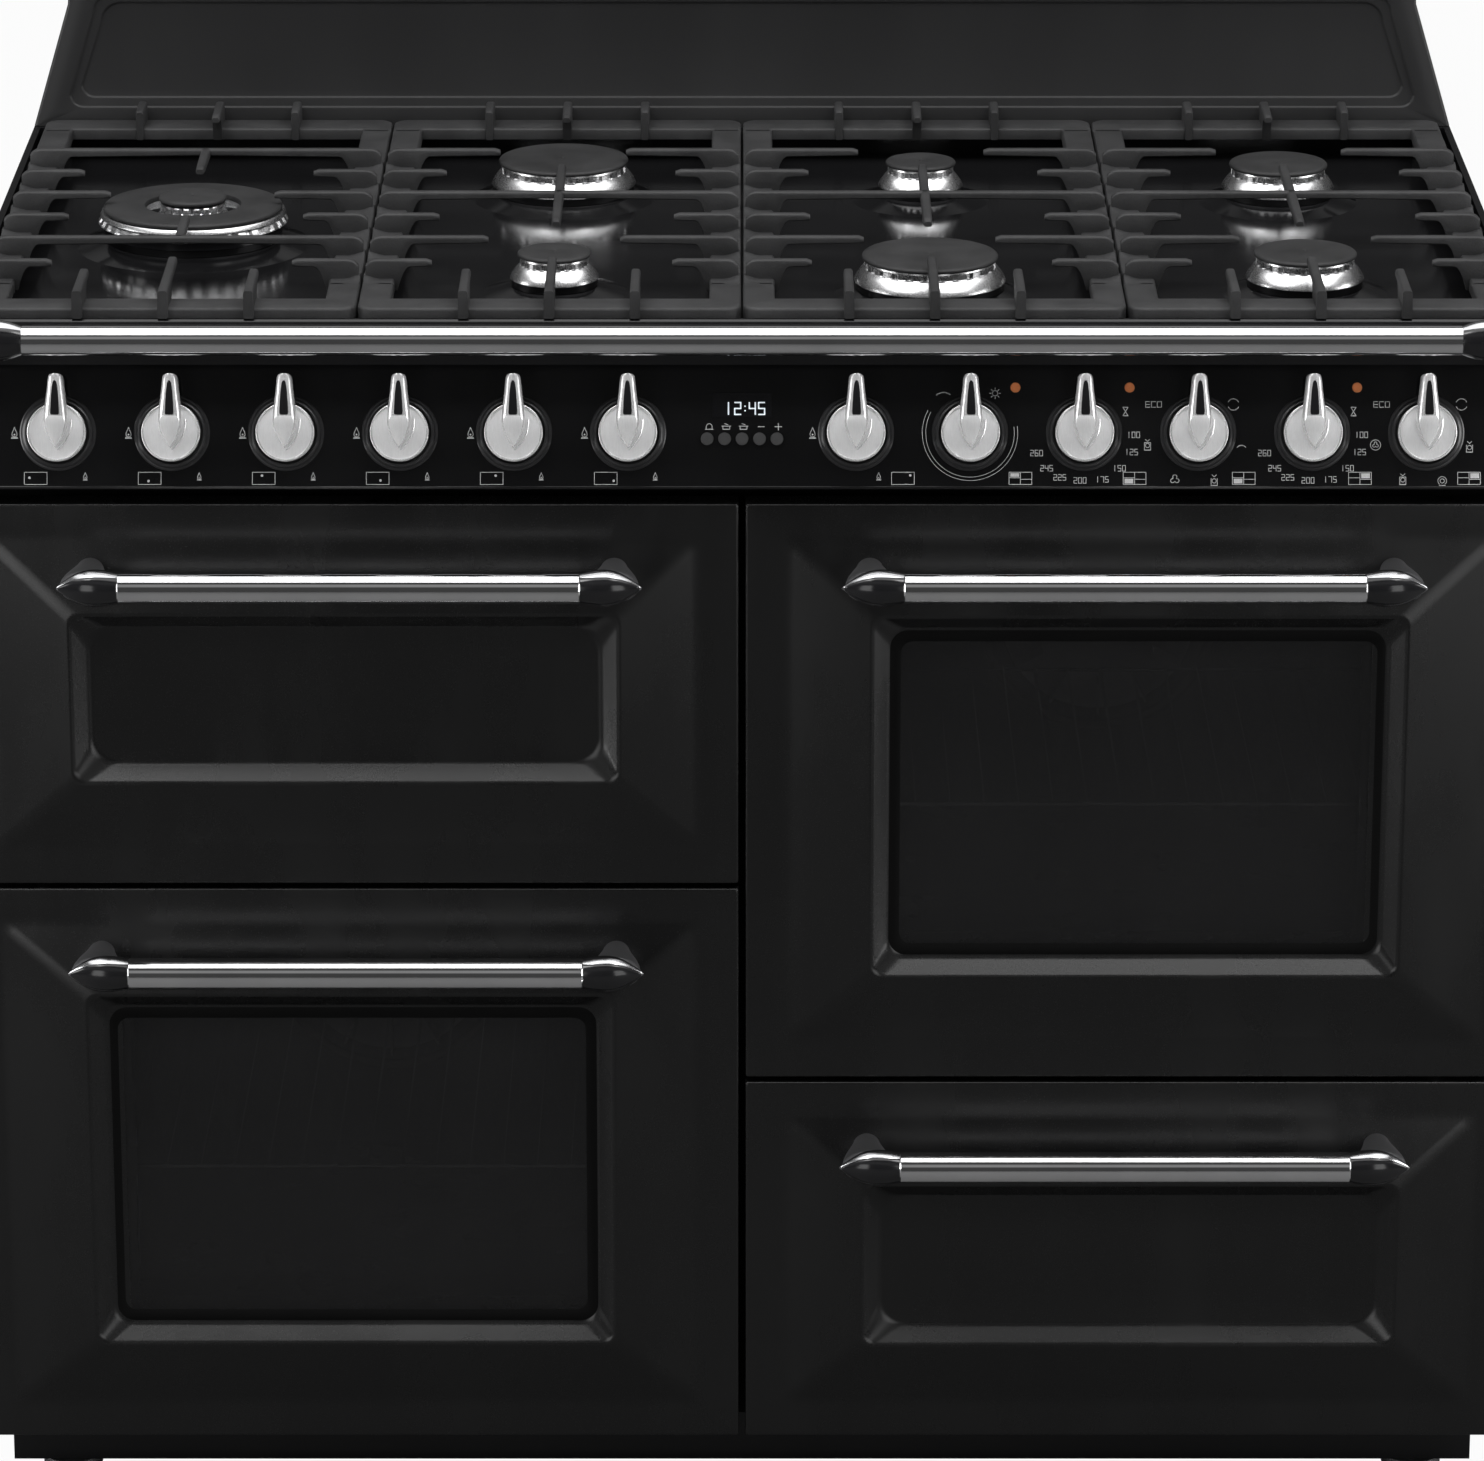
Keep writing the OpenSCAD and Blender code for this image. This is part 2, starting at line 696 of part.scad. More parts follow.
module gas_manifold() {
    color("#b9a060") difference() {
        union() {
            translate([-6 * knob_pitch - 20, gas_pipe_y(), gas_pipe_z()]) rotate([0, 90, 0])
                cylinder(r = pipe_r, h = inlet_x + 6 * knob_pitch + 20);
            translate([inlet_x, gas_pipe_y(), gas_pipe_z()]) sphere(r = pipe_r);
            translate([inlet_x, gas_pipe_y(), gas_pipe_z()]) rotate([-90, 0, 0])
                cylinder(r = pipe_r, h = y_back + sheet - gas_pipe_y());
            translate([inlet_x, y_back + sheet + loose, gas_pipe_z()]) rotate([-90, 0, 0])
                cylinder(r = inlet_r, h = inlet_l);
            translate([inlet_x, y_back - cut, gas_pipe_z()]) rotate([-90, 0, 0])
                cylinder(r = pipe_r, h = inlet_l);
            for (i = gas_knob_i)
                at_knob(i) translate([-valve_w / 2, -valve_w / 2, -valve_n - valve_l])
                    cube([valve_w, valve_w, valve_l]);
        }
        for (i = gas_knob_i)
            at_knob(i) translate([0, 0, -valve_n - spindle_bore_l])
                cylinder(r = spindle_r + running, h = spindle_bore_l + cut);
    }
}

module control_switches() {
    color("#d8d4c8") for (i = switch_knob_i)
        at_knob(i) difference() {
            translate([-switch_w / 2, -switch_w / 2, -valve_n - switch_l])
                cube([switch_w, switch_w, switch_l]);
            translate([0, 0, -valve_n - spindle_bore_l])
                cylinder(r = spindle_r + running, h = spindle_bore_l + cut);
        }
}

module control_panel() {
    end_in = 1;
    w = range_w - 2 * end_in;
    back = door_t + 1;
    color("#0c0c0c") difference() {
        union() {
            on_panel() block([-w / 2, 0, 0], [w / 2, sheet, panel_slant]);
            block([-w / 2, y_door + sheet * sin(panel_lean), panel_z], [w / 2, y_door + back, panel_z + sheet]);
            for (s = [0, 1]) mirror([s, 0, 0]) translate([w / 2 - sheet, y_door, panel_z])
                rotate([90, 0, 90]) linear_extrude(sheet) polygon([
                    [sheet * sin(panel_lean), 0], [back, 0], [back, panel_slant * cos(panel_lean)],
                    [panel_slant * sin(panel_lean), panel_slant * cos(panel_lean)]]);
        }
        for (i = concat(gas_knob_i, switch_knob_i))
            at_knob(i) translate([0, 0, -sheet - cut]) cylinder(r = spindle_r + loose, h = sheet + 2 * cut);
        on_panel() block([-clock_w / 2, -cut, clock_up - clock_h / 2],
                         [clock_w / 2, sheet + cut, clock_up + clock_h / 2]);
        on_panel() for (i = [-2 : 2])
            translate([i * button_pitch, sheet + cut, button_up]) rotate([90, 0, 0])
                cylinder(r = button_r + seat, h = sheet + 2 * cut);
        on_panel() for (x = lamp_x)
            translate([x, sheet + cut, lamp_up]) rotate([90, 0, 0])
                cylinder(r = lamp_r + seat, h = sheet + 2 * cut);
    }
}

module knob_bezels() {
    inner = knob_r + loose;
    color("#1a1a1a") for (i = concat(gas_knob_i, switch_knob_i))
        at_knob(i) rotate_extrude() polygon([
            [inner, 0], [bezel_r, 0], [bezel_r, bezel_h * 0.4], [bezel_r - 1.5, bezel_h * 0.6],
            [bezel_r - 3, bezel_h * 0.6], [bezel_r - 3.5, bezel_h], [inner, bezel_h]]);
}

// Disc, lever and spindle
module knob(i) {
    color("#c4c5c7") at_knob(i) union() {
        translate([0, 0, disc_gap]) cylinder(r = knob_r - 0.6, h = knob_disc_t - 1);
        translate([0, 0, knob_disc_t - 1]) cylinder(r1 = knob_r, r2 = knob_r - 1, h = 1 + disc_gap);
        translate([0, 0, knob_disc_t - 4]) cylinder(r = knob_r, h = 3);
        translate([0, 0, lever_base]) linear_extrude(knob_h - lever_base) polygon([
            [0, -lever_point], [lever_w / 2 - 1, -1], [lever_w / 2, 6], [lever_mid_w / 2, knob_r - 1],
            [lever_top_w / 2 + 0.6, lever_reach - 5], [lever_top_w / 2 - 0.6, lever_reach - 1.2],
            [lever_tip_w / 2, lever_reach], [-lever_tip_w / 2, lever_reach],
            [-lever_top_w / 2 + 0.6, lever_reach - 1.2], [-lever_top_w / 2 - 0.6, lever_reach - 5],
            [-lever_mid_w / 2, knob_r - 1], [-lever_w / 2, 6], [-lever_w / 2 + 1, -1]]);
        translate([0, 0, -valve_n - 22]) cylinder(r = spindle_r, h = valve_n + 24);
    }
}

module clock_display() {
    color("#16181c") on_panel() union() {
        block([-clock_w / 2 + seat, 0.4, clock_up - clock_h / 2 + seat],
              [clock_w / 2 - seat, sheet + 2, clock_up + clock_h / 2 - seat]);
        block([-clock_w / 2 - clock_rim, sheet + seat, clock_up - clock_h / 2 - clock_rim / 2],
              [clock_w / 2 + clock_rim, sheet + clock_t, panel_slant - clock_rim - 2]);
    }
}

// A round button with a flange behind the panel
module clock_button(i) {
    color("#2a2a2a") on_panel() translate([i * button_pitch, 0, button_up]) rotate([90, 0, 0]) union() {
        translate([0, 0, -sheet - seat - 1]) cylinder(r = button_r + 1.2, h = 1);
        translate([0, 0, -sheet - seat - button_neck])
            cylinder(r = button_r, h = sheet + seat + button_neck + button_travel + button_out);
    }
}

module indicator_lamps() {
    color("#d9822b") on_panel() for (x = lamp_x) translate([x, 0, lamp_up]) rotate([90, 0, 0]) union() {
        translate([0, 0, -sheet - seat - 8]) cylinder(r = lamp_r + 1.5, h = 8);
        translate([0, 0, -sheet - seat - 8]) cylinder(r = lamp_r, h = sheet + seat + 9);
    }
}

module front_rail() {
    color("#c8c8c8") {
        translate([0, y_door - rail_out, rail_z]) {
            translate([-rail_l / 2, 0, 0]) rotate([0, 90, 0]) cylinder(r = rail_r, h = rail_l);
            for (s = [0, 1]) mirror([s, 0, 0])
                translate([rail_l / 2, 0, 0]) post(rail_post_l, rail_post_r, rail_r);
        }
        for (x = [-1, 0, 1])
            translate([x * (rail_l / 2 + rail_post_l - neck_in), y_door, rail_z - 6])
                rotate([90, 0, 0]) cylinder(r = rail_neck_r, h = rail_out);
    }
}

// ---- Hob -------------------------------------------------------------------------------------

module worktop() {
    skirt = top_z;
    well_back = splash_y - rim_w;
    color("#0a0a0a") difference() {
        union() {
            block([-half_w, y_door + nose_r, skirt], [half_w, y_rear, range_h]);
            block([-half_w, y_door, skirt], [half_w, y_door + nose_r + cut, range_h - nose_r]);
            translate([-half_w, y_door + nose_r, range_h - nose_r]) rotate([0, 90, 0])
                cylinder(r = nose_r, h = range_w);
        }
        block([-half_w + rim_w, y_door + rim_w, well_z], [half_w - rim_w, well_back, range_h + cut]);
        block([-half_w + rim_t, y_door + rim_t, skirt + rim_t], [half_w - rim_t, y_rear + cut, well_z - rim_t]);
        block([-half_w + rim_t, y_door + fascia_foot, skirt - cut],
              [half_w - rim_t, y_rear + cut, skirt + rim_t + cut]);
        translate([wok[0], y_door + wok[1], well_z - rim_t - cut])
            cylinder(r = wok_hole_r + seat, h = rim_t + cone_h + 2 * cut);
        for (b = burners)
            translate([b[0], y_door + b[1], well_z - rim_t - cut])
                cylinder(r = b[2] * cup_share + seat, h = rim_t + cone_h + 2 * cut);
    }
    color("#0a0a0a") {
        translate([wok[0], y_door + wok[1], well_z]) rotate_extrude() polygon([
            [wok_hole_r + seat, 0], [wok[4], 0], [wok[3] - 2, cone_h], [wok_hole_r + seat, cone_h]]);
        for (b = burners)
            translate([b[0], y_door + b[1], well_z]) rotate_extrude() polygon([
                [b[2] * cup_share + seat, 0], [b[4], 0], [b[3], cone_h], [b[2] * cup_share + seat, cone_h]]);
    }
}

function arc_pts(cx, cz, r, a0, a1, n) = [
    for (i = [0 : n]) let (a = a0 + (a1 - a0) * i / n) [cx + r * cos(a), cz + r * sin(a)]];

// Outline of the splashback, inset by d, from z0 to z1
module splash_outline(d, z0, z1, r, r_low) {
    x0 = half_w - d - z0 * tan(splash_slope);
    x1 = half_w - d - z1 * tan(splash_slope);
    right = concat(
        r_low > 0 ? arc_pts(x0 - r_low, z0 + r_low, r_low, -90, 0, 6) : [[x0, z0]],
        arc_pts(x1 - r, z1 - r, r, -splash_slope / 2, 90, 8));
    left = [for (i = [len(right) - 1 : -1 : 0]) [-right[i][0], right[i][1]]];
    polygon(concat(right, left));
}

module splashback() {
    inset = 25;
    foot_h = 15;
    press = 3;
    color("#0d0d0d") translate([0, y_rear, range_h + seat]) rotate([90, 0, 0]) difference() {
        linear_extrude(splash_t) splash_outline(0, 0, splash_h, splash_r, 0);
        translate([0, 0, splash_t - press]) linear_extrude(press + cut)
            splash_outline(inset, foot_h, splash_h - inset, press_r, press_low_r);
        translate([0, 0, -cut]) linear_extrude(splash_t - press - sheet + cut)
            splash_outline(sheet * 2, sheet, splash_h - sheet, splash_r - 2, 0);
    }
}

// Block up to the fingers' tops, from any two corners
module finger_block(x0, x1, y0, y1, z0) {
    block([min(x0, x1), min(y0, y1), z0], [max(x0, x1), max(y0, y1), finger_z]);
}

// Finger across, from a side bar inwards
module side_finger(x, s, reach, y) {
    fw = finger_w / 2;
    edge = grate_w / 2 - root_in;
    finger_block(x + s * edge, x + s * (grate_w / 2 - reach), y - fw, y + fw, finger_z - finger_t);
    finger_block(x + s * edge, x + s * (grate_w / 2 - grate_side - root_out), y - fw, y + fw, grate_z);
}

// Finger lengthwise, from the front or rear bar inwards, with a hook beyond the bar
module end_finger(x, k, reach, hook, hook_z) {
    fw = finger_w / 2;
    edge = grate_mid + k * grate_d / 2;
    finger_block(x - fw, x + fw, edge, edge - k * reach, finger_z - finger_t);
    finger_block(x - fw, x + fw, edge, edge - k * min(reach, grate_bar + root_out), grate_z);
    finger_block(x - fw, x + fw, edge + k * hook, edge, hook_z);
}

// A cast pan support. bars lists the rows where a bar runs right across.
module pan_support(i, long_reach, bars) {
    x = grate_x[i];
    w = grate_w;
    y0 = grate_y;
    y1 = grate_y + grate_d;
    fw = finger_w / 2;
    thin = finger_z - finger_t;
    hook_z = range_h + hook_gap;
    foot_r = 6;
    foot_x = 14;
    foot_y = 16;
    color("#1d1d1f") union() {
        difference() {
            block([x - w / 2, y0, grate_z], [x + w / 2, y1, grate_z + grate_t]);
            block([x - w / 2 + grate_side, y0 + grate_bar, grate_z - cut],
                  [x + w / 2 - grate_side, y1 - grate_bar, grate_z + grate_t + cut]);
        }
        for (sx = [-1, 1], y = [y0 + foot_y, y1 - foot_y])
            translate([x + sx * (w / 2 - foot_x), y, well_z + seat]) cylinder(r = foot_r, h = grate_z - well_z);
        for (k = [-3 : 2], s = [-1, 1])
            side_finger(x, s, len(search(k, bars)) > 0 ? w / 2 : k % 2 == 0 ? long_reach : finger_short,
                        grate_mid + k * finger_pitch);
        for (s = [-1, 1]) {
            end_finger(x + s * front_finger_x, -1, front_finger_l, front_hook, hook_z);
            end_finger(x + s * front_finger_x, 1, rear_finger_l, rear_hook, hook_z);
        }
        end_finger(x, -1, front_middle_l, front_hook, hook_z);
        end_finger(x, 1, rear_middle_l, rear_hook, hook_z);
        if (len(bars) == 1)
            finger_block(x - fw, x + fw, grate_mid - lengthwise_l / 2, grate_mid + lengthwise_l / 2, thin);
        else for (k = bars) let (y = grate_mid + k * finger_pitch)
            finger_block(x - fw, x + fw, y, y - sign(k) * front_finger_l, thin);
    }
}

module pan_support_far_left() { pan_support(0, finger_wok, [-2, 2]); }
module pan_support_mid_left() { pan_support(1, finger_long, [0]); }
module pan_support_mid_right() { pan_support(2, finger_long, [0]); }
module pan_support_far_right() { pan_support(3, finger_long, [0]); }

// Cup that hangs through the worktop with a flange on its cone
module cup(x, d, hole_r, flange_r) {
    translate([x, y_door + d, cup_z - cup_depth]) rotate_extrude() polygon([
        [0, 0], [hole_r * 0.6, 0], [hole_r, 6], [hole_r, cup_depth], [flange_r, cup_depth],
        [flange_r, cup_depth + cup_flange_t], [hole_r - 4, cup_depth + cup_flange_t], [hole_r - 4, 9], [0, 9]]);
}

module burner_cups() {
    color("#2b2b2d") {
        translate([0, 0, seat]) cup(wok[0], wok[1], wok_hole_r, wok[3] - 3);
        for (b = burners) translate([0, 0, seat]) cup(b[0], b[1], b[2] * cup_share, b[3] - 1);
    }
}

// Crown of a burner: a conical skirt under a ring with radial ports
module crown(x, d, r, inner_r, t, skirt, ports) {
    wall = r - skirt;
    foot = 1.5;
    slot_w = 1.4;
    slot_l = 9;
    translate([x, y_door + d, spreader_z + 2 * seat]) difference() {
        rotate_extrude() polygon([
            [inner_r, 0], [r, 0], [r, foot], [wall, t / 2], [wall, t], [inner_r, t]]);
        for (i = [0 : ports - 1])
            rotate([0, 0, i * 360 / ports]) translate([wall - slot_l / 2, -slot_w / 2, t * 0.7]) cube([slot_l, slot_w, t]);
    }
}

module flame_spreaders() {
    ports = 12;
    core_hole = 8;
    core_gap = 1.5;
    color("#c9cacc") {
        crown(wok[0], wok[1], wok[3], wok_inner_r, spreader_t, 2, ports);
        crown(wok[0], wok[1], wok_core_r + core_gap, core_hole, spreader_t + wok_core_up, core_gap + 1, ports);
        translate([wok[0], y_door + wok[1], spreader_z + 2 * seat]) difference() {
            cylinder(r = wok_inner_r + 1, h = wok_floor_t);
            translate([0, 0, -cut]) cylinder(r = wok_core_r - 1, h = wok_floor_t + 2 * cut);
        }
        for (b = burners) crown(b[0], b[1], b[3], b[2] * 0.5, spreader_t, skirt_w, ports);
    }
}

module cap_disc(x, d, r, hole_r, up) {
    soft = 1;
    translate([x, y_door + d, cap_z + 3 * seat + up]) rotate_extrude() polygon([
        [hole_r, 0], [r - soft, 0], [r, soft], [r, cap_t - soft], [r - 2 * soft, cap_t], [hole_r, cap_t]]);
}

module burner_caps() {
    color("#222224") {
        cap_disc(wok[0], wok[1], wok[2], wok_cap_hole_r, 0);
        cap_disc(wok[0], wok[1], wok_core_r, 0, wok_core_up);
        for (b = burners) cap_disc(b[0], b[1], b[2], 0, 0);
    }
}

// ---- Ovens and drawer ------------------------------------------------------------------------

// Five-sided liner with a flange on the front frame. The mouth's lower middle is at [x, z].
module cavity(x, z, h, fan) {
    t = cavity_wall;
    w = cavity_w / 2;
    y0 = y_frame - seat - t;
    y1 = y_frame + cavity_d;
    fan_z = z + h / 2;
    difference() {
        union() {
            block([x - w - t, y0, z - t], [x + w + t, y1 + t, z + h + t]);
            block([x - w - t - flange_w, y0, z - t - flange_w],
                  [x + w + t + flange_w, y0 + t, z + h + t + flange_w]);
        }
        block([x - w, y0 - cut, z], [x + w, y1, z + h]);
        if (fan) {
            translate([x, y1 - cut, fan_z]) rotate([-90, 0, 0]) cylinder(r = 4 + running, h = t + 2 * cut);
            for (s = [-1, 1])
                translate([x + s * 12, y1 - cut, fan_z + ring_r]) rotate([-90, 0, 0])
                    cylinder(r = element_r + seat, h = t + 2 * cut);
        }
        for (s = [-1, 1])
            translate([x + s * 140, y1 - cut, z + h - 18]) rotate([-90, 0, 0])
                cylinder(r = element_r + seat, h = t + 2 * cut);
    }
    if (fan) difference() {
        translate([x, y1 + t + seat, fan_z]) rotate([-90, 0, 0]) cylinder(r = motor_r, h = motor_l);
        translate([x, y1 + t, fan_z]) rotate([-90, 0, 0]) cylinder(r = 4 + running, h = 24);
    }
}

module grill_cavity() {
    color("#3a3d42") cavity(-column_x, grill_cavity_z, grill_h, false);
}

module left_oven_cavity() {
    color("#3a3d42") cavity(-column_x, left_cavity_z, oven_h, true);
}

module right_oven_cavity() {
    color("#3a3d42") cavity(column_x, right_cavity_z, oven_h, true);
}

// Frame-shaped seal between a cavity's flange and its door
module gasket(x, z, h) {
    g = 6;
    w = cavity_w / 2 + 2;
    y1 = y_frame - 2 * seat - cavity_wall;
    difference() {
        block([x - w - g, y1 - gasket_t, z - 2 - g], [x + w + g, y1, z + h + 2 + g]);
        block([x - w, y1 - gasket_t - cut, z - 2], [x + w, y1 + cut, z + h + 2]);
    }
}

module door_gaskets() {
    color("#2d2a28") {
        gasket(-column_x, grill_cavity_z, grill_h);
        gasket(-column_x, left_cavity_z, oven_h);
        gasket(column_x, right_cavity_z, oven_h);
    }
}

module rod_y(x, y0, y1, z, r) {
    translate([x, y0, z]) rotate([-90, 0, 0]) cylinder(r = r, h = y1 - y0, $fn = 24);
}

module rod_x(x0, x1, y, z, r) {
    translate([x0, y, z]) rotate([0, 90, 0]) cylinder(r = r, h = x1 - x0, $fn = 24);
}

// Side racks and one shelf of an oven
module wirework(x, z) {
    side = cavity_w / 2 - rack_in;
    y0 = y_frame + 30;
    y1 = y_frame + cavity_d - fan_gap - fan_depth - 12;
    for (s = [-1, 1]) union() {
        for (y = [y0 + 10, y1 - 10])
            translate([x + s * side, y, z + seat]) cylinder(r = rack_wire_r, h = oven_h - 12, $fn = 24);
        for (k = [1 : 4]) rod_y(x + s * (side - 3), y0, y1, z + k * shelf_pitch, rack_wire_r);
        for (k = [1 : 4], y = [y0 + 10, y1 - 10])
            rod_x(min(x + s * (side - 3), x + s * side), max(x + s * (side - 3), x + s * side),
                  y, z + k * shelf_pitch, bridge_wire_r);
    }
    shelf_x = side - 4;
    shelf_z = z + 2 * shelf_pitch + 2 * rack_wire_r + seat;
    wire_step = 2 * (shelf_x - 12) / (shelf_wires - 1);
    union() {
        for (y = [y0 + 6, y1 - 6]) rod_x(x - shelf_x, x + shelf_x, y, shelf_z, shelf_wire_r);
        for (s = [-1, 1]) rod_y(x + s * shelf_x, y0 + 3, y1 - 3, shelf_z, rack_wire_r - 0.1);
        for (k = [0 : shelf_wires - 1])
            rod_y(x - shelf_x + 12 + k * wire_step, y0 + 5, y1 - 5, shelf_z + shelf_wire_r, rung_wire_r);
    }
}

module oven_wirework() {
    color("#b8bbbf") {
        wirework(-column_x, left_cavity_z);
        wirework(column_x, right_cavity_z);
    }
}

module grill_pan() {
    x = -column_x;
    y0 = y_frame + 30;
    z0 = grill_cavity_z + seat;
    t = 1.5;
    color("#26282c") difference() {
        block([x - pan_w / 2, y0, z0], [x + pan_w / 2, y0 + pan_l, z0 + pan_h]);
        block([x - pan_w / 2 + t, y0 + t, z0 + t], [x + pan_w / 2 - t, y0 + pan_l - t, z0 + pan_h + cut]);
    }
}

// Impeller with its shaft, in front of the cavity's rear wall
module fan(x, z) {
    y1 = y_frame + cavity_d;
    color("#9a9da0") translate([x, y1 - fan_gap, z + oven_h / 2]) rotate([90, 0, 0]) union() {
        cylinder(r = fan_r, h = 1.5);
        cylinder(r = fan_hub_r, h = fan_depth);
        for (i = [0 : fan_blades - 1])
            rotate([0, 0, i * 360 / fan_blades]) block([fan_r - 26, -0.8, 0], [fan_r - 1, 0.8, fan_depth]);
        translate([0, 0, -fan_gap - 22]) cylinder(r = 4, h = fan_gap + 24);
    }
}

module left_oven_fan() { fan(-column_x, left_cavity_z); }
module right_oven_fan() { fan(column_x, right_cavity_z); }

// Looped grill element under the cavity's roof
module grill_element(x, z) {
    y1 = y_frame + cavity_d + 12;
    y0 = y_frame + 60;
    union() {
        for (s = [-1, 1]) {
            rod_y(x + s * 140, y0, y1, z, element_r);
            rod_y(x + s * 50, y0, y_frame + cavity_d - 60, z, element_r);
            translate([x + s * 95, y0, z]) rotate([0, 0, 180]) rotate_extrude(angle = 180)
                translate([45, 0]) circle(element_r, $fn = 24);
        }
        translate([x, y_frame + cavity_d - 60, z]) rotate_extrude(angle = 180)
            translate([50, 0]) circle(element_r, $fn = 24);
    }
}

// Ring element around the fan
module ring_element(x, z) {
    y1 = y_frame + cavity_d;
    translate([x, y1 - fan_gap, z]) rotate([90, 0, 0]) rotate_extrude()
        translate([ring_r, 0]) circle(element_r, $fn = 24);
    for (s = [-1, 1]) rod_y(x + s * 12, y1 - fan_gap - 1, y1 + 12, z + ring_r, element_r);
}

module heating_elements() {
    color("#4a3f3a") {
        grill_element(-column_x, grill_cavity_z + grill_h - 18);
        grill_element(-column_x, left_cavity_z + oven_h - 18);
        grill_element(column_x, right_cavity_z + oven_h - 18);
        union() ring_element(-column_x, left_cavity_z + oven_h / 2);
        union() ring_element(column_x, right_cavity_z + oven_h / 2);
    }
}

module drawer_box() {
    x = column_x;
    w = drawer_w / 2;
    y0 = y_door + pan_d + seat;
    color("#8f9295") union() {
        difference() {
            block([x - w - box_in, y0, box_z], [x + w + box_in, y0 + drawer_d, box_z + drawer_box_h]);
            block([x - w, y0 + box_in, box_z + box_in],
                  [x + w, y0 + drawer_d - box_in, box_z + drawer_box_h + cut]);
        }
        for (s = [-1, 1])
            block([min(x + s * (w + box_in), x + s * (w + box_in + runner_w)), y0 + 30, runner_z],
                  [max(x + s * (w + box_in), x + s * (w + box_in + runner_w)),
                   y0 + drawer_d, runner_z + runner_h]);
    }
}

module drawer_runners() {
    x = column_x;
    w = drawer_w / 2 + box_in + seat;
    color("#a8abad") for (s = [-1, 1]) {
        block([min(x + s * w, x + s * (w + runner_w)), rail_y0, runner_z - seat - sheet],
              [max(x + s * w, x + s * (w + runner_w)), y_back - seat, runner_z - seat]);
        block([min(x + s * (w + runner_w), x + s * (w + runner_w + sheet)), rail_y0, runner_z - seat - sheet],
              [max(x + s * (w + runner_w), x + s * (w + runner_w + sheet)),
               y_back - seat, runner_z + runner_h + seat + sheet]);
    }
}

chassis();
side_panels();
rear_panel();
plinth();
levelling_feet();
worktop();
splashback();
pan_support_far_left();
pan_support_mid_left();
pan_support_mid_right();
pan_support_far_right();
burner_cups();
flame_spreaders();
burner_caps();
gas_manifold();
control_switches();
control_panel();
knob_bezels();
knob(gas_knob_i[0]);  // gas_knob_1
knob(gas_knob_i[1]);  // gas_knob_2
knob(gas_knob_i[2]);  // gas_knob_3
knob(gas_knob_i[3]);  // gas_knob_4
knob(gas_knob_i[4]);  // gas_knob_5
knob(gas_knob_i[5]);  // gas_knob_6
knob(gas_knob_i[6]);  // gas_knob_7
knob(switch_knob_i[0]);  // grill_knob
knob(switch_knob_i[1]);  // left_thermostat_knob
knob(switch_knob_i[2]);  // left_function_knob
knob(switch_knob_i[3]);  // right_thermostat_knob
knob(switch_knob_i[4]);  // right_function_knob
clock_display();
clock_button(-2);  // clock_button_1
clock_button(-1);  // clock_button_2
clock_button(0);  // clock_button_3
clock_button(1);  // clock_button_4
clock_button(2);  // clock_button_5
indicator_lamps();
front_rail();
grill_door();
grill_door_handle();
left_oven_door();
left_oven_door_glass();
left_oven_door_handle();
right_oven_door();
right_oven_door_glass();
right_oven_door_handle();
drawer_front();
drawer_handle();
drawer_box();
drawer_runners();
grill_cavity();
left_oven_cavity();
right_oven_cavity();
door_gaskets();
oven_wirework();
grill_pan();
left_oven_fan();
right_oven_fan();
heating_elements();
door_hinges();
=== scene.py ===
import math

import bmesh
import bpy
from mathutils import Matrix, Vector


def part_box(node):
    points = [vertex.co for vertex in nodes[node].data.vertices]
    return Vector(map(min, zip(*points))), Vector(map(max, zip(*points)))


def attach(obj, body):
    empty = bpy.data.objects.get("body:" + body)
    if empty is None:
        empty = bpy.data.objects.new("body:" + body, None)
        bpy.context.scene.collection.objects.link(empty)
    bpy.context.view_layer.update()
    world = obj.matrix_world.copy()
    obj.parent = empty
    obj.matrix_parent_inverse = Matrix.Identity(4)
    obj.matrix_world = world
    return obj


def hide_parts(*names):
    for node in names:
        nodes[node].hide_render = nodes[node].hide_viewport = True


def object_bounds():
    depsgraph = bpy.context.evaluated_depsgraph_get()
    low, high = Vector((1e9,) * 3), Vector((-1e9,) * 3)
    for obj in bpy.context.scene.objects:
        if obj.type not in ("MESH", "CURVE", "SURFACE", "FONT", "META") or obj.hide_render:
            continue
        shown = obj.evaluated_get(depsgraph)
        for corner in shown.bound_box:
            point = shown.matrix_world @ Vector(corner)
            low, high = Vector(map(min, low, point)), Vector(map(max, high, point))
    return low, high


mm = 0.001
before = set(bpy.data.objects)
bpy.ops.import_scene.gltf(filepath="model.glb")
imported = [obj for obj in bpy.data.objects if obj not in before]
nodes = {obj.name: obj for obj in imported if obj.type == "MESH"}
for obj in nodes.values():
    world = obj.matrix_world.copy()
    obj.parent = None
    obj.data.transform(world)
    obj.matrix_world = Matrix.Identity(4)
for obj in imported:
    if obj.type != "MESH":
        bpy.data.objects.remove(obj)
cadLow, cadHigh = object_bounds()
print("frame loaded:", len(nodes), "nodes")


def millimetres(**lengths):
    return {name: value * mm for name, value in lengths.items()}


class Wire:
    # one output of a node; + and * on it add Math nodes
    def __init__(self, graph, socket):
        self.graph = graph
        self.socket = socket

    def calc(self, operation, other):
        return self.graph.add("ShaderNodeMath", {"operation": operation}, {0: self, 1: other})

    def __add__(self, other):
        return self.calc("ADD", other)

    def __mul__(self, other):
        return self.calc("MULTIPLY", other)

    __radd__ = __add__
    __rmul__ = __mul__


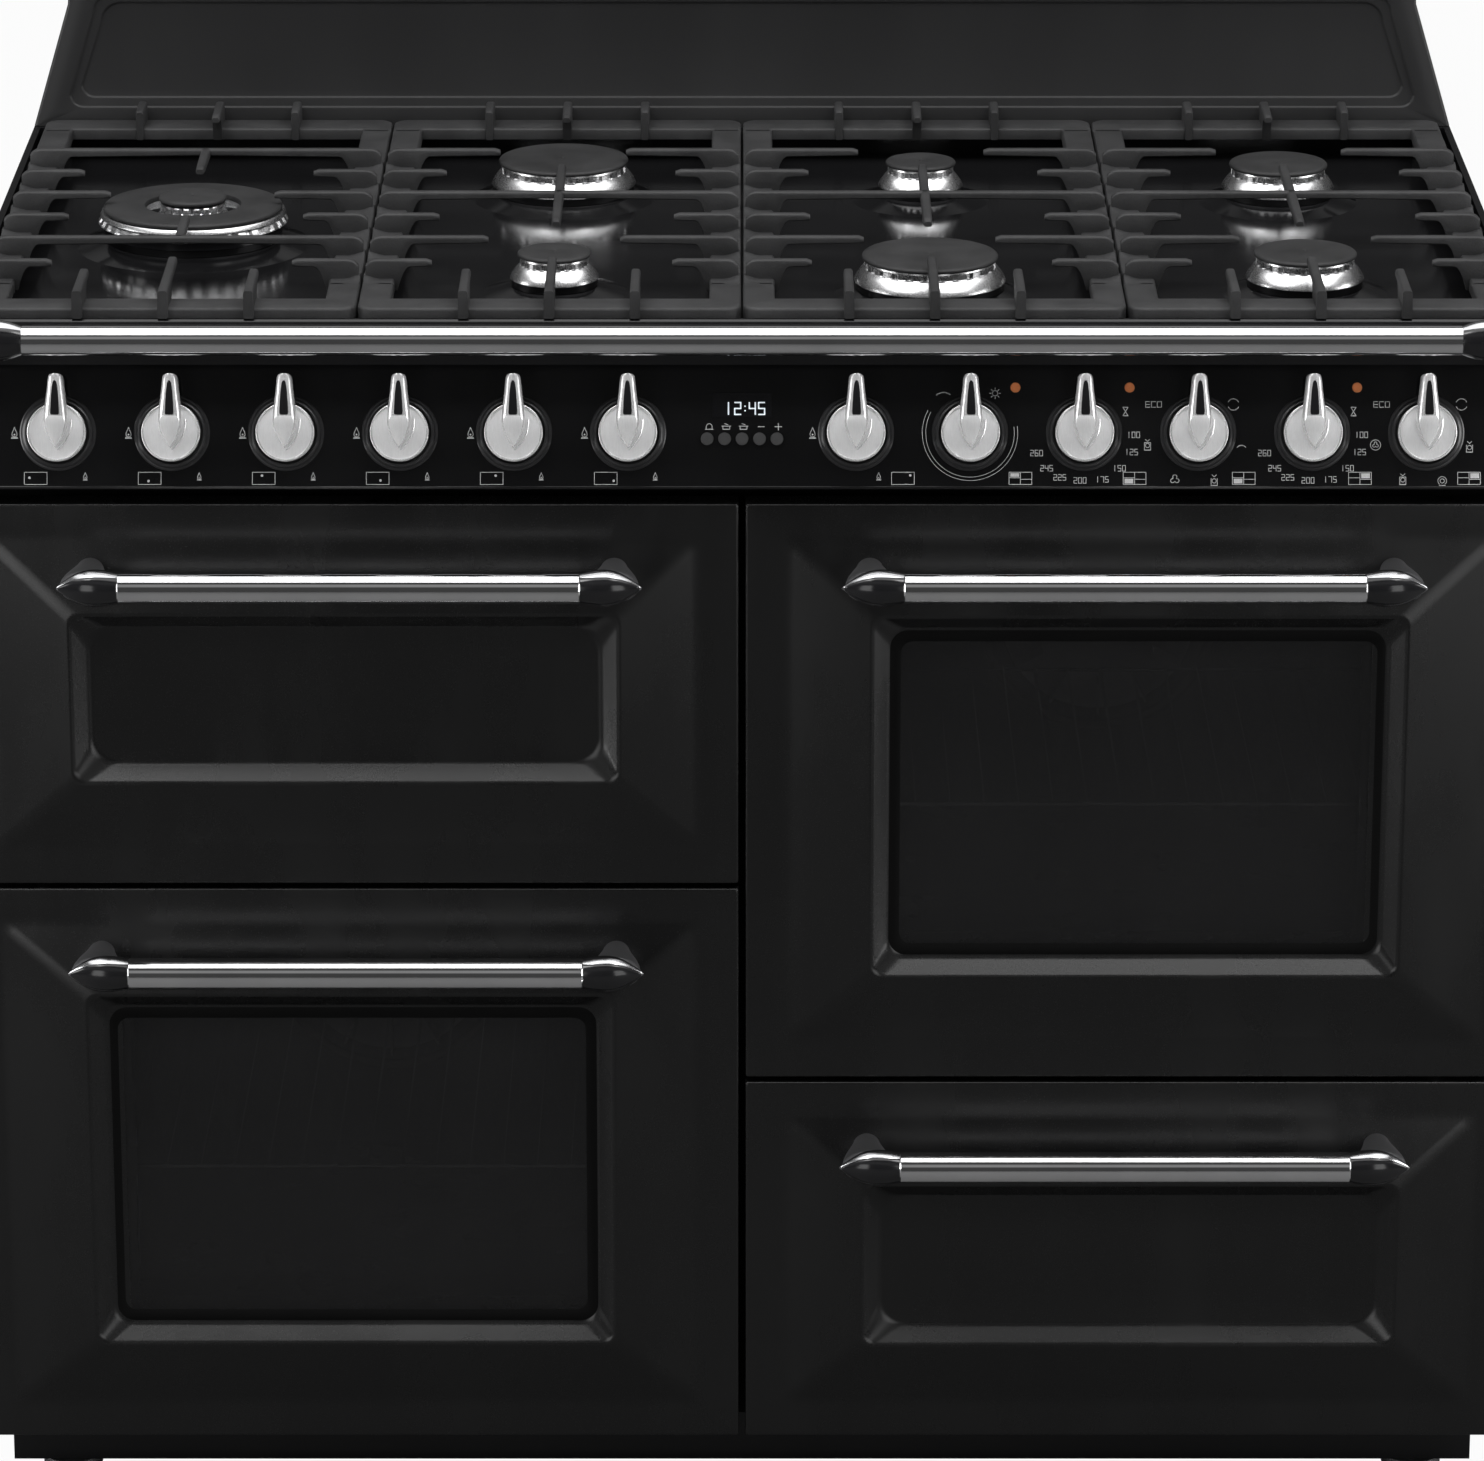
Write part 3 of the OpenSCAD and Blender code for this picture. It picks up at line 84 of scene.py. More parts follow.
class Graph:
    # a node tree and the nodes that are added to it
    def __init__(self, tree):
        self.tree = tree

    def feed(self, node, key, value):
        if isinstance(value, Wire):
            self.tree.links.new(value.socket, node.inputs[key])
        else:
            node.inputs[key].default_value = value

    def add(self, kind, settings, inputs, output=0):
        node = self.tree.nodes.new(kind)
        for key, value in settings.items():
            if key == "stops":
                self.setStops(node.color_ramp.elements, value)
            else:
                setattr(node, key, value)
        for key, value in inputs.items():
            self.feed(node, key, value)
        return Wire(self, node.outputs[output])

    def setStops(self, elements, stops):
        while len(elements) < len(stops):
            elements.new(0.5)
        for element, (place, value) in zip(elements, stops):
            element.position = place
            element.color = (value, value, value, 1.0)

    def ramp(self, fac, *stops):
        return self.add("ShaderNodeValToRGB", {"stops": stops}, {"Fac": fac})

    def shown(self, share, unseen, seen):
        # seen by camera rays to that share, unseen by all others
        camera = self.add("ShaderNodeLightPath", {}, {}, "Is Camera Ray")
        fac = camera * share
        return self.add("ShaderNodeMixShader", {}, {0: fac, 1: unseen, 2: seen})


class Finish(Graph):
    # a material with one Principled shader
    def __init__(self, name, color, roughness, metallic=0.0, **constants):
        self.material = bpy.data.materials.new(name)
        self.material.use_nodes = True
        self.material.diffuse_color = (*color, 1.0)
        super().__init__(self.material.node_tree)
        self.shader = self.tree.nodes["Principled BSDF"]
        self.color = color
        self.set("Base Color", (*color, 1.0))
        self.set("Roughness", roughness)
        self.set("Metallic", metallic)
        for socketName, value in constants.items():
            self.set(socketName.replace("_", " "), value)
        self.point = self.add("ShaderNodeTexCoord", {}, {}, "Object")

    def set(self, socketName, value):
        self.feed(self.shader, socketName, value)

    def shade(self, times, plus=0.0):
        # the finish's own colour, darker or lighter
        return tuple(min(1.0, c * times + plus) for c in self.color)

    def stretched(self, x, y, z):
        return self.add("ShaderNodeMapping", {}, {"Vector": self.point, "Scale": (x, y, z)})

    def noise(self, scale, detail=3.0, where=None, rough=0.55):
        inputs = {"Vector": where or self.point, "Scale": scale, "Detail": detail, "Roughness": rough}
        return self.add("ShaderNodeTexNoise", {}, inputs, "Fac")

    def cells(self, scale, output="Distance"):
        inputs = {"Vector": self.point, "Scale": scale}
        return self.add("ShaderNodeTexVoronoi", {}, inputs, output)

    def blend(self, fac, first, second):
        first, second = ((*c, 1.0) if isinstance(c, tuple) else c for c in (first, second))
        return self.add("ShaderNodeMix", {"data_type": "RGBA"}, {0: fac, 6: first, 7: second}, 2)

    def dress(self, roughness, tone, height=None, depth=0.0, strength=1.0):
        # gloss, colour and fine relief, which every finish has
        self.set("Roughness", roughness)
        self.set("Base Color", tone)
        if height:
            inputs = {"Height": height, "Distance": depth, "Strength": strength}
            self.set("Normal", self.add("ShaderNodeBump", {}, inputs))
        return self.material


def enamelFinish(name, color, gloss, speckle=0.0, shine=0.5):
    # vitreous enamel: slight orange peel, faint dust and wiping streaks in the gloss
    finish = Finish(name, color, gloss, Specular_IOR_Level=shine)
    peel = finish.noise(260.0, 2.0)
    wiped = finish.noise(14.0, 4.0, finish.stretched(1.0, 1.0, 0.35))
    dust = finish.ramp(finish.noise(900.0, 1.0), (0.62, 0.0), (0.74, 1.0))
    streaks = finish.ramp(wiped, (0.42, 0.0), (0.75, 1.0))
    tone = finish.blend(wiped * 0.5 + dust * 0.3, color, finish.shade(1.4, 0.002))
    if speckle:
        flecks = finish.ramp(finish.cells(420.0), (0.10, 1.0), (0.22, 0.0))
        tone = finish.blend(flecks * speckle, tone, (0.55, 0.57, 0.60))
    return finish.dress(gloss + 0.10 * streaks + 0.05 * dust, tone, peel, 0.00006, 0.35)


def castIronFinish(name, color):
    # matt sand-cast iron: fine grain, pits and a little rubbed sheen
    finish = Finish(name, color, 0.55, 0.35)
    grain = finish.noise(900.0, 4.0, rough=0.7)
    pits = finish.ramp(finish.cells(520.0), (0.05, 0.0), (0.28, 1.0))
    cloud = finish.noise(32.0, 4.0)
    rubbed = finish.ramp(cloud * 0.6 + grain * 0.5, (0.4, 0.0), (0.8, 1.0))
    tone = finish.blend(rubbed, color, finish.shade(1.9, 0.012))
    return finish.dress(0.42 + 0.28 * grain + 0.08 * cloud, tone, grain * 0.7 + pits * 0.3, 0.00035, 0.6)


def chromeFinish(name, color, gloss):
    # polished metal with hairlines along the way it was drawn
    finish = Finish(name, color, gloss, 1.0)
    hair = finish.noise(30.0, 6.0, finish.stretched(1.0, 40.0, 40.0), 0.75)
    smear = finish.noise(20.0, 3.0)
    tone = finish.blend(finish.ramp(smear, (0.35, 0.0), (0.8, 1.0)), color, finish.shade(0.88))
    return finish.dress(gloss + 0.10 * hair * smear, tone, hair, 0.00002, 0.25)


def turnedFinish(name, color, gloss, depth=0.00003):
    # satin metal or metallised plastic with a fine turned grain
    finish = Finish(name, color, gloss, 1.0)
    grain = finish.noise(1400.0, 3.0, rough=0.8)
    broad = finish.noise(60.0, 3.0)
    tone = finish.blend(finish.ramp(grain, (0.3, 0.0), (0.75, 1.0)), finish.shade(0.72), color)
    return finish.dress(gloss + 0.16 * grain + 0.06 * broad, tone, grain, depth, 0.5)


def silverFinish(name, color, metallic, gloss):
    # metallised, finely grained: half mirror, half paint
    finish = Finish(name, color, gloss, metallic)
    grain = finish.noise(2200.0, 3.0, rough=0.8)
    brushed = finish.noise(160.0, 4.0, finish.stretched(12.0, 1.0, 1.0), 0.7)
    mixed = finish.ramp(grain * 0.5 + brushed * 0.5, (0.3, 0.0), (0.65, 1.0))
    tone = finish.blend(mixed, finish.shade(0.78), color)
    return finish.dress(gloss + 0.2 * grain, tone, grain, 0.00004, 0.5)


def sheetSteelFinish(name, color):
    # galvanised sheet with spangle
    finish = Finish(name, color, 0.38, 0.9)
    tint = finish.add("ShaderNodeSeparateColor", {}, {"Color": finish.cells(90.0, "Color")}, "Red")
    scuff = finish.noise(70.0, 6.0, finish.stretched(0.3, 1.0, 1.0), 0.7)
    tone = finish.blend(tint * 0.7 + scuff * 0.3, finish.shade(0.7), color)
    return finish.dress(0.28 + 0.2 * tint + 0.12 * scuff, tone, scuff, 0.00005, 0.3)


def plasticFinish(name, color, gloss, grainDepth=0.00003):
    finish = Finish(name, color, gloss)
    grain = finish.noise(1800.0, 2.0)
    broad = finish.noise(45.0, 3.0)
    tone = finish.blend(broad, color, finish.shade(1.25, 0.004))
    return finish.dress(gloss + 0.08 * grain + 0.06 * broad, tone, grain, grainDepth, 0.4)


def rubberFinish(name, color):
    finish = Finish(name, color, 0.7)
    ribs = finish.noise(500.0, 4.0, rough=0.7)
    tone = finish.blend(ribs, color, finish.shade(2.2, 0.01))
    return finish.dress(0.6 + 0.25 * ribs, tone, ribs, 0.0002, 0.6)


def glassFinish(name, color, alpha):
    # toughened, tinted pane: see-through by its alpha, with faint smears
    finish = Finish(name, color, 0.03, Alpha=alpha, IOR=1.5)
    smear = finish.noise(9.0, 5.0, finish.stretched(1.0, 1.0, 0.4))
    wiped = finish.ramp(smear, (0.45, 0.0), (0.8, 1.0))
    finish.material.surface_render_method = "BLENDED"
    return finish.dress(0.02 + 0.06 * wiped, finish.blend(smear, color, finish.shade(1.5, 0.004)))


def inkFinish(name, color, glow=0.0):
    finish = Finish(name, color, 0.45)
    wear = finish.noise(1600.0, 3.0)
    if glow:
        finish.set("Emission Color", (*color, 1.0))
        finish.set("Emission Strength", glow)
    tone = finish.blend(finish.ramp(wear, (0.3, 0.0), (0.7, 1.0)), finish.shade(0.75), color)
    return finish.dress(0.4 + 0.2 * wear, tone)


finishes = {
    "enamel": enamelFinish("black enamel", (0.005, 0.005, 0.0054), 0.12, 0.0, 0.36),
    "doorEnamel": enamelFinish("black enamel of the doors", (0.0034, 0.0034, 0.0035), 0.24, 0.0, 0.5),
    "frameEnamel": enamelFinish("black enamel of the frame", (0.003, 0.003, 0.003), 0.5, 0.0, 0.05),
    # the splashback's enamel is a lighter copy of the black enamel: its higher colour is painted light
    # standing in for light falling on it from above
    "splashbackPaintedLightEnamel": enamelFinish("black enamel of the splashback lightened as painted light", (0.020, 0.020, 0.0205), 0.36, 0.0, 0.2),
    "liner": enamelFinish("speckled oven enamel", (0.035, 0.038, 0.045), 0.22, 0.5),
    "castIron": castIronFinish("matt cast iron", (0.019, 0.019, 0.0197)),
    "capIron": castIronFinish("enamelled burner cap", (0.013, 0.013, 0.0135)),
    "burnerBase": turnedFinish("dark burner base", (0.05, 0.05, 0.052), 0.3),
    "spreader": turnedFinish("polished burner aluminium", (0.86, 0.86, 0.87), 0.16),
    "chrome": chromeFinish("chrome", (0.86, 0.86, 0.87), 0.05),
    # the leaves' rims are the handles' chrome darkened: painted shade standing in for the dark surroundings
    # it reflects
    "shadedLeafChrome": chromeFinish("chrome darkened as painted shade", (0.42, 0.42, 0.43), 0.16),
    "bracketGrey": turnedFinish("satin grey casting", (0.20, 0.20, 0.205), 0.38, 0.00008),
    "knobDisc": silverFinish("brushed silver", (0.98, 0.98, 0.985), 0.06, 0.4),
    "button": plasticFinish("dark grey button", (0.055, 0.055, 0.056), 0.3),
    "knobLever": silverFinish("satin chrome lever", (0.88, 0.88, 0.885), 0.55, 0.16),
    "darkGloss": plasticFinish("black gloss plastic", (0.008, 0.008, 0.009), 0.08),
    "bezel": plasticFinish("dark bezel", (0.016, 0.016, 0.017), 0.24),
    "switchBody": plasticFinish("switch body", (0.62, 0.60, 0.54), 0.45),
    "lamp": plasticFinish("orange lamp", (0.85, 0.26, 0.09), 0.25),
    "galvanised": sheetSteelFinish("galvanised sheet", (0.52, 0.53, 0.54)),
    "fanSteel": turnedFinish("fan steel", (0.55, 0.55, 0.56), 0.3),
    "elementSteel": turnedFinish("heater sheath", (0.16, 0.14, 0.13), 0.42),
    "gasket": rubberFinish("woven door seal", (0.03, 0.03, 0.032)),
    "wire": chromeFinish("chromed wire", (0.7, 0.7, 0.71), 0.16),
    "footSteel": turnedFinish("foot steel", (0.45, 0.45, 0.46), 0.32),
    "drawerSteel": plasticFinish("painted drawer box", (0.07, 0.07, 0.075), 0.4, 0.00008),
    "glass": glassFinish("tinted oven glass", (0.016, 0.016, 0.0165), 0.34),
    "ink": inkFinish("white panel print", (0.72, 0.72, 0.72)),
    "digits": inkFinish("clock digits", (0.82, 0.9, 0.95), 0.5),
    "windowPrint": enamelFinish("black print of the windows", (0.004, 0.004, 0.004), 0.4, 0.0, 0.08),
    "clockGlass": plasticFinish("clock window", (0.004, 0.004, 0.005), 0.05),
}
print("finishes made:", len(finishes))

cadFinish = {
    "frameEnamel": ["chassis"], "enamel": ["side_panels", "plinth", "worktop", "control_panel"],
    "doorEnamel": ["grill_door", "left_oven_door", "right_oven_door", "drawer_front"],
    "splashbackPaintedLightEnamel": ["splashback"], "footSteel": ["levelling_feet"], "burnerBase": ["burner_cups"],
    "galvanised": ["rear_panel", "gas_manifold", "drawer_runners", "door_hinges"],
    "spreader": ["flame_spreaders"], "capIron": ["burner_caps"], "switchBody": ["control_switches"],
    "bezel": ["knob_bezels"], "clockGlass": ["clock_display"], "lamp": ["indicator_lamps"],
    "chrome": ["front_rail"], "glass": ["left_oven_door_glass", "right_oven_door_glass"],
    "drawerSteel": ["drawer_box"], "gasket": ["door_gaskets"], "wire": ["oven_wirework"],
    "liner": ["grill_cavity", "left_oven_cavity", "right_oven_cavity", "grill_pan"],
    "fanSteel": ["left_oven_fan", "right_oven_fan"], "elementSteel": ["heating_elements"]}
finishOf = {nodeName: key for key, nodeNames in cadFinish.items() for nodeName in nodeNames}
families = {"pan_support": "castIron", "handle": "chrome", "button": "button", "knob": "knobDisc"}
for nodeName, node in nodes.items():
    key = finishOf.get(nodeName) or next(families[word] for word in families if word in nodeName)
    node.data.materials.clear()
    node.data.materials.append(finishes[key])


def linkPiece(name, mesh, finish, body, smooth=40.0, replaced=None):
    piece = bpy.data.objects.new(name, mesh)
    bpy.context.scene.collection.objects.link(piece)
    mesh.materials.append(finishes[finish])
    mesh.shade_smooth()
    mesh.set_sharp_from_angle(angle=math.radians(smooth))
    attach(piece, body)
    if replaced:
        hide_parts(replaced)


def circle(radius, count):
    turns = [2 * math.pi * k / count for k in range(count)]
    return [(radius * math.cos(a), radius * math.sin(a)) for a in turns]


class Shape:
    # gathers quads and end faces for one mesh, in metres
    def __init__(self):
        self.points = []
        self.faces = []

    def ring(self, points):
        start = len(self.points)
        self.points.extend(tuple(p) for p in points)
        return list(range(start, len(self.points)))

    def bridge(self, first, second):
        for i in range(len(first)):
            j = (i + 1) % len(first)
            self.faces.append((first[i], first[j], second[j], second[i]))

    def loft(self, rings, closed=False):
        made = [self.ring(r) for r in rings]
        for first, second in zip(made, made[1:]):
            self.bridge(first, second)
        if closed:
            self.bridge(made[-1], made[0])
        else:
            self.faces += [made[0][::-1], made[-1]]

    def lathe(self, profile, place, segments=48, closed=False):
        # profile is (radius, height) along the local Z of place
        self.loft([[place @ Vector((x, y, height)) for x, y in circle(radius, segments)]
                   for radius, height in profile], closed)

    def slab(self, outline, place, bottom, top):
        # a plate from a flat outline
        self.loft([[place @ Vector((x, y, z)) for x, y in outline] for z in (bottom, top)])

    def mesh(self, name):
        made = bpy.data.meshes.new(name)
        made.from_pydata(self.points, [], self.faces)
        tool = bmesh.new()
        tool.from_mesh(made)
        bmesh.ops.remove_doubles(tool, verts=tool.verts, dist=1e-7)
        bmesh.ops.recalc_face_normals(tool, faces=tool.faces)
        tool.to_mesh(made)
        tool.free()
        made.validate()
        return made

    def piece(self, name, finish, body, slot, smooth=40.0, replaced=None):
        linkPiece(name, self.mesh(name), finish, body, smooth, replaced)


def shrunk(outline, distance):
    # the outline moved inwards, for convex or gently curved outlines
    count = len(outline)
    area = sum(outline[i][0] * outline[(i + 1) % count][1] - outline[(i + 1) % count][0] * outline[i][1]
               for i in range(count))
    side = 1.0 if area > 0 else -1.0
    moved = []
    for i in range(count):
        before, here, after = Vector(outline[i - 1]), Vector(outline[i]), Vector(outline[(i + 1) % count])
        first = (here - before).normalized() if (here - before).length > 1e-9 else Vector((0, 0))
        second = (after - here).normalized() if (after - here).length > 1e-9 else first
        along = (first + second).normalized() if (first + second).length > 1e-6 else second
        normal = Vector((-along.y, along.x)) * side
        sharp = max(0.4, abs(along.dot(first)) if first.length else 1.0)
        moved.append(tuple(here + normal * distance / sharp))
    return moved


def roundRect(halfWidth, halfHeight, radius, steps=10):
    # the outline of a rounded rectangle, anticlockwise
    outline = []
    radius = max(radius, 1e-5)
    for corner in range(4):
        cx = (halfWidth - radius) * (1 if corner in (0, 3) else -1)
        cy = (halfHeight - radius) * (1 if corner in (0, 1) else -1)
        for i in range(steps + 1):
            a = math.pi / 2 * (corner + i / steps)
            outline.append((cx + radius * math.cos(a), cy + radius * math.sin(a)))
    return outline


def softened(keys, reaches):
    # rounds each inner key of a path with a curve that reaches that far along both sides
    steps = 6
    path = [keys[0]]
    for before, here, after, reach in zip(keys, keys[1:], keys[2:], reaches):
        def towards(other):
            length = math.hypot(other[0] - here[0], other[3] - here[3])
            share = min(0.5, reach / length) if length else 0.0
            return [h + (o - h) * share for h, o in zip(here, other)]
        start, end = towards(before), towards(after)
        for i in range(steps + 1):
            t = i / steps
            path.append(tuple((1 - t) ** 2 * a + 2 * t * (1 - t) * b + t * t * c
                              for a, b, c in zip(start, here, end)))
    path.append(keys[-1])
    return path


door = millimetres(
    edgeRound=1.6, cutDepth=6, baseCorner=8, ridgeCorner=9, sideBorder=22.8, outward=6.5, topBorder=26.3,
    bottomBorder=28.4, reliefOut=13, floorOut=0.4, baseSoft=5, ridgeSoft=2.6, wallRun=12, floorSoft=3.2,
    windowCorner=6, windowSoft=0.5)
windowOutward = 0.3 * door["outward"]
doorLift = (door["bottomBorder"] - door["topBorder"]) / 2
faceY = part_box("left_oven_door")[0][1] + door["reliefOut"]


def doorSkin(node, body, ridge, floorCorner, window):
    # pressed front of a door; ridge is the (width, height) of the raised frame's inner edge
    low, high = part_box(node)
    centreX, halfW = (low[0] + high[0]) / 2, (high[0] - low[0]) / 2
    middleZ, halfH = (low[2] + high[2]) / 2, (high[2] - low[2]) / 2
    reliefW = halfW - door["sideBorder"]
    reliefH = halfH - (door["topBorder"] + door["bottomBorder"]) / 2
    ridgeW, ridgeH = ridge[0] / 2, ridge[1] / 2
    floorW, floorH = ridgeW - door["wallRun"], ridgeH - door["wallRun"]
    floorOut = door["floorOut"]
    pushed = (doorLift, math.copysign(door["outward"], centreX))
    # each key: half width, half height, corner radius, how far out, centre's lift, centre's shift
    keys = [
        (halfW, halfH, door["edgeRound"], -door["cutDepth"], 0.0, 0.0),
        (halfW, halfH, door["edgeRound"], 0.0, 0.0, 0.0),
        (reliefW, reliefH, door["baseCorner"], 0.0, *pushed),
        (ridgeW, ridgeH, door["ridgeCorner"], door["reliefOut"], *pushed),
        (floorW, floorH, floorCorner, floorOut, *pushed)]
    reaches = [door["edgeRound"], door["baseSoft"], door["ridgeSoft"], door["floorSoft"]]
    if window:
        clear = (window[0] / 2, window[1] / 2, door["windowCorner"])
        aside = (doorLift, math.copysign(windowOutward, centreX))
        keys += [(*clear, floorOut, *aside), (*clear, -door["cutDepth"], *aside)]
        reaches.append(door["windowSoft"])
    else:
        keys.append((floorW * 0.5, floorH * 0.5, floorCorner * 0.5, floorOut, *pushed))
    shape = Shape()
    shape.loft([[(centreX + across + x, faceY - out, middleZ + up + z) for x, z in roundRect(w, h, r)]
                for w, h, r, out, up, across in softened(keys, reaches)], bool(window))
    shape.piece(node + "_pressing", "doorEnamel", body, "black_enamel", 60.0, node)


def doorCore(node, body):
    # what lies behind the pressed front: the pan, the liner and the hinge slots
    name = node + "_core"
    mesh = nodes[node].data.copy()
    mesh.name = name
    tool = bmesh.new()
    tool.from_mesh(mesh)
    bmesh.ops.remove_doubles(tool, verts=tool.verts, dist=1e-6)
    bmesh.ops.transform(tool, matrix=nodes[node].matrix_world, verts=tool.verts)
    cutY = faceY + door["cutDepth"] - 0.2 * mm
    made = bmesh.ops.bisect_plane(tool, geom=tool.verts[:] + tool.edges[:] + tool.faces[:],
                                  plane_co=(0, cutY, 0), plane_no=(0, -1, 0), clear_outer=True)
    edges = [e for e in made["geom_cut"] if isinstance(e, bmesh.types.BMEdge)]
    bmesh.ops.triangle_fill(tool, edges=edges, use_beauty=True)
    bmesh.ops.recalc_face_normals(tool, faces=tool.faces)
    tool.to_mesh(mesh)
    tool.free()
    mesh.materials.clear()
    linkPiece(name, mesh, "doorEnamel", body, 30.0, node)


# (width, height) inside the ridge, corner of the recess, (width, height) of the window
shallowDoor = (388 * mm, 125.5 * mm), 20 * mm, None
ovenDoor = (378 * mm, 271 * mm), 15 * mm, (340 * mm, 233 * mm)
doors = {
    "grill_door": ("grill_door_body", shallowDoor), "left_oven_door": ("left_oven_door_body", ovenDoor),
    "right_oven_door": ("right_oven_door_body", ovenDoor), "drawer_front": ("drawer_body", shallowDoor)}
for node, (body, sizes) in doors.items():
    doorSkin(node, body, *sizes)
    doorCore(node, body)
print("doors pressed")


handle = millimetres(radius=11.25, half=161, leafLength=44, leafRadius=13.4, neckIn=20, out=50, drop=46.5,
                     casting=36, behind=2, root=8)
rail = millimetres(radius=10.5, half=499, leafLength=45, leafRadius=14.4, neckIn=16, out=40, casting=34,
                   behind=1, root=7)
leaf = millimetres(rimIn=0.5, rimTip=1.0, faceSideIn=2.2, faceIn=3.4, faceTip=0.3, faceUp=0.55)


def leafRadius(t, barRadius, widest, tip):
    # radius of a leaf-shaped end, from the bar's end to its point
    swell = 0.38
    if t < swell:
        return barRadius + (widest - barRadius) * math.sin(math.pi / 2 * t / swell)
    s = (t - swell) / (1 - swell)
    return tip + (widest - tip) * math.cos(math.pi / 2 * s ** 1.15)


def leafFlat(t):
    # how deep a leaf is for its height
    return 0.62 + 0.2 * (1 - t)


def leafMesh(name, centre, side, sizes, body, replaced):
    # the leaf: a metal rim round a black polished face; the black face is a painted reflection of dark
    # surroundings in the chrome end, and the rim's darkened chrome is painted shade
    steps, across = 22, 16
    rings, rows = [], []
    for i in range(steps + 1):
        t = i / steps
        x = centre[0] + side * (sizes["half"] + sizes["leafLength"] * t)
        r = leafRadius(t, sizes["radius"] - leaf["rimIn"], sizes["leafRadius"], leaf["rimTip"])
        rings.append([(x, centre[1] - r * leafFlat(t) * c, centre[2] + r * s) for c, s in circle(1.0, 40)])
        t = 0.005 + 0.96 * i / steps
        x = centre[0] + side * (sizes["half"] + sizes["leafLength"] * t)
        outer = leafRadius(t, sizes["radius"] - leaf["rimIn"], sizes["leafRadius"], leaf["rimTip"])
        r = leafRadius(t, sizes["radius"] - leaf["faceSideIn"], sizes["leafRadius"] - leaf["faceIn"],
                       leaf["faceTip"])
        row = []
        for k in range(across + 1):
            a = -1.0 + 2.0 * k / across
            lie = math.sqrt(max(0.0, 1 - (r * a / outer) ** 2)) * outer * leafFlat(t)
            row.append((x, centre[1] - lie - leaf["faceUp"] * (1 - a ** 6), centre[2] + r * a))
        back = [(x, centre[1] - 0.25 * outer * leafFlat(t), z) for _, _, z in reversed(row)]
        rows.append(row + back)
    metal, face = Shape(), Shape()
    metal.loft(rings)
    metal.piece(name, "shadedLeafChrome", body, "chrome", 60.0, replaced)
    # black face over the leaf: painted reflection of dark surroundings in the chrome end
    face.loft(rows)
    face.piece(name + "_face", "darkGloss", body, "dark_plastic", 60.0, replaced)


def bracketMesh(name, centre, side, sizes, body, replaced):
    # casting that carries the leaf: wide at the leaf, narrow at the door
    steps = 16
    front = 2.5 * mm
    middleX = sizes["half"] + sizes["leafLength"] - sizes["neckIn"]
    rings = []
    for i in range(steps + 1):
        t = i / steps
        ease = t * t * (3 - 2 * t)
        halfLong = (sizes["casting"] / 2) * (1 - ease) + sizes["root"] * 1.15 * ease
        halfHigh = (sizes["leafRadius"] * 0.86) * (1 - ease) + sizes["root"] * ease
        y = centre[1] + front + (sizes["out"] + sizes["behind"] - front) * t
        rings.append([(centre[0] + side * (middleX + halfLong * c), y, centre[2] + halfHigh * s)
                      for c, s in circle(1.0, 32)])
    shape = Shape()
    shape.loft(rings)
    shape.piece(name, "bracketGrey", body, "chrome", 60.0, replaced)


def barWithEnds(node, x, z, sizes, body):
    # a drawn tube with softly rounded ends, and a leaf and a bracket at both
    centre = Vector((x, faceY - sizes["out"], z))
    place = Matrix.Translation(centre) @ Matrix.Rotation(math.pi / 2, 4, "Y")
    half, radius, soft = sizes["half"] + 1 * mm, sizes["radius"], 0.8 * mm
    tube = Shape()
    tube.lathe([(radius - soft, -half), (radius, -half + soft), (radius, -half * 0.5), (radius, 0),
                (radius, half * 0.5), (radius, half - soft), (radius - soft, half)], place, 64)
    tube.piece(node + "_bar", "chrome", body, "chrome", replaced=node)
    for side, word in ((-1, "left"), (1, "right")):
        leafMesh(f"{node}_{word}_leaf", centre, side, sizes, body, node)
        bracketMesh(f"{node}_{word}_bracket", centre, side, sizes, body, node)


def doorHandle(node, doorNode, body):
    low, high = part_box(node)
    barWithEnds(node, (low[0] + high[0]) / 2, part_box(doorNode)[1][2] - handle["drop"], handle, body)


doorHandle("grill_door_handle", "grill_door", "grill_door_body")
doorHandle("left_oven_door_handle", "left_oven_door", "left_oven_door_body")
doorHandle("right_oven_door_handle", "right_oven_door", "right_oven_door_body")
doorHandle("drawer_handle", "drawer_front", "drawer_body")
railLow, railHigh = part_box("front_rail")
barWithEnds("front_rail", 0, (railLow[2] + railHigh[2]) / 2, rail, "range")
print("handles and rail made")


panel = {"lean": math.radians(18), "knobPitch": 80.3, "knobUp": 40}
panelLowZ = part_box("control_panel")[0][2]
# X across, Y up the slope, Z out of the panel
panelPlace = (Matrix.Translation((0, faceY, panelLowZ)) @ Matrix.Rotation(-panel["lean"], 4, "X")
              @ Matrix.Rotation(math.pi / 2, 4, "X"))
knobIndex = {"gas_knob_1": -6, "gas_knob_2": -5, "gas_knob_3": -4, "gas_knob_4": -3, "gas_knob_5": -2,
             "gas_knob_6": -1, "gas_knob_7": 1, "grill_knob": 2, "left_thermostat_knob": 3,
             "left_function_knob": 4, "right_thermostat_knob": 5, "right_function_knob": 6}


def inMetres(points):
    return [tuple(value * mm for value in point) for point in points]


def mirrored(half, *middle):
    # a whole section from one half of it
    return [*half, *middle, *((-x, z) for x, z in reversed(half))]


def knobPlace(index):
    return panelPlace @ Matrix.Translation((index * panel["knobPitch"] * mm, panel["knobUp"] * mm, 0))


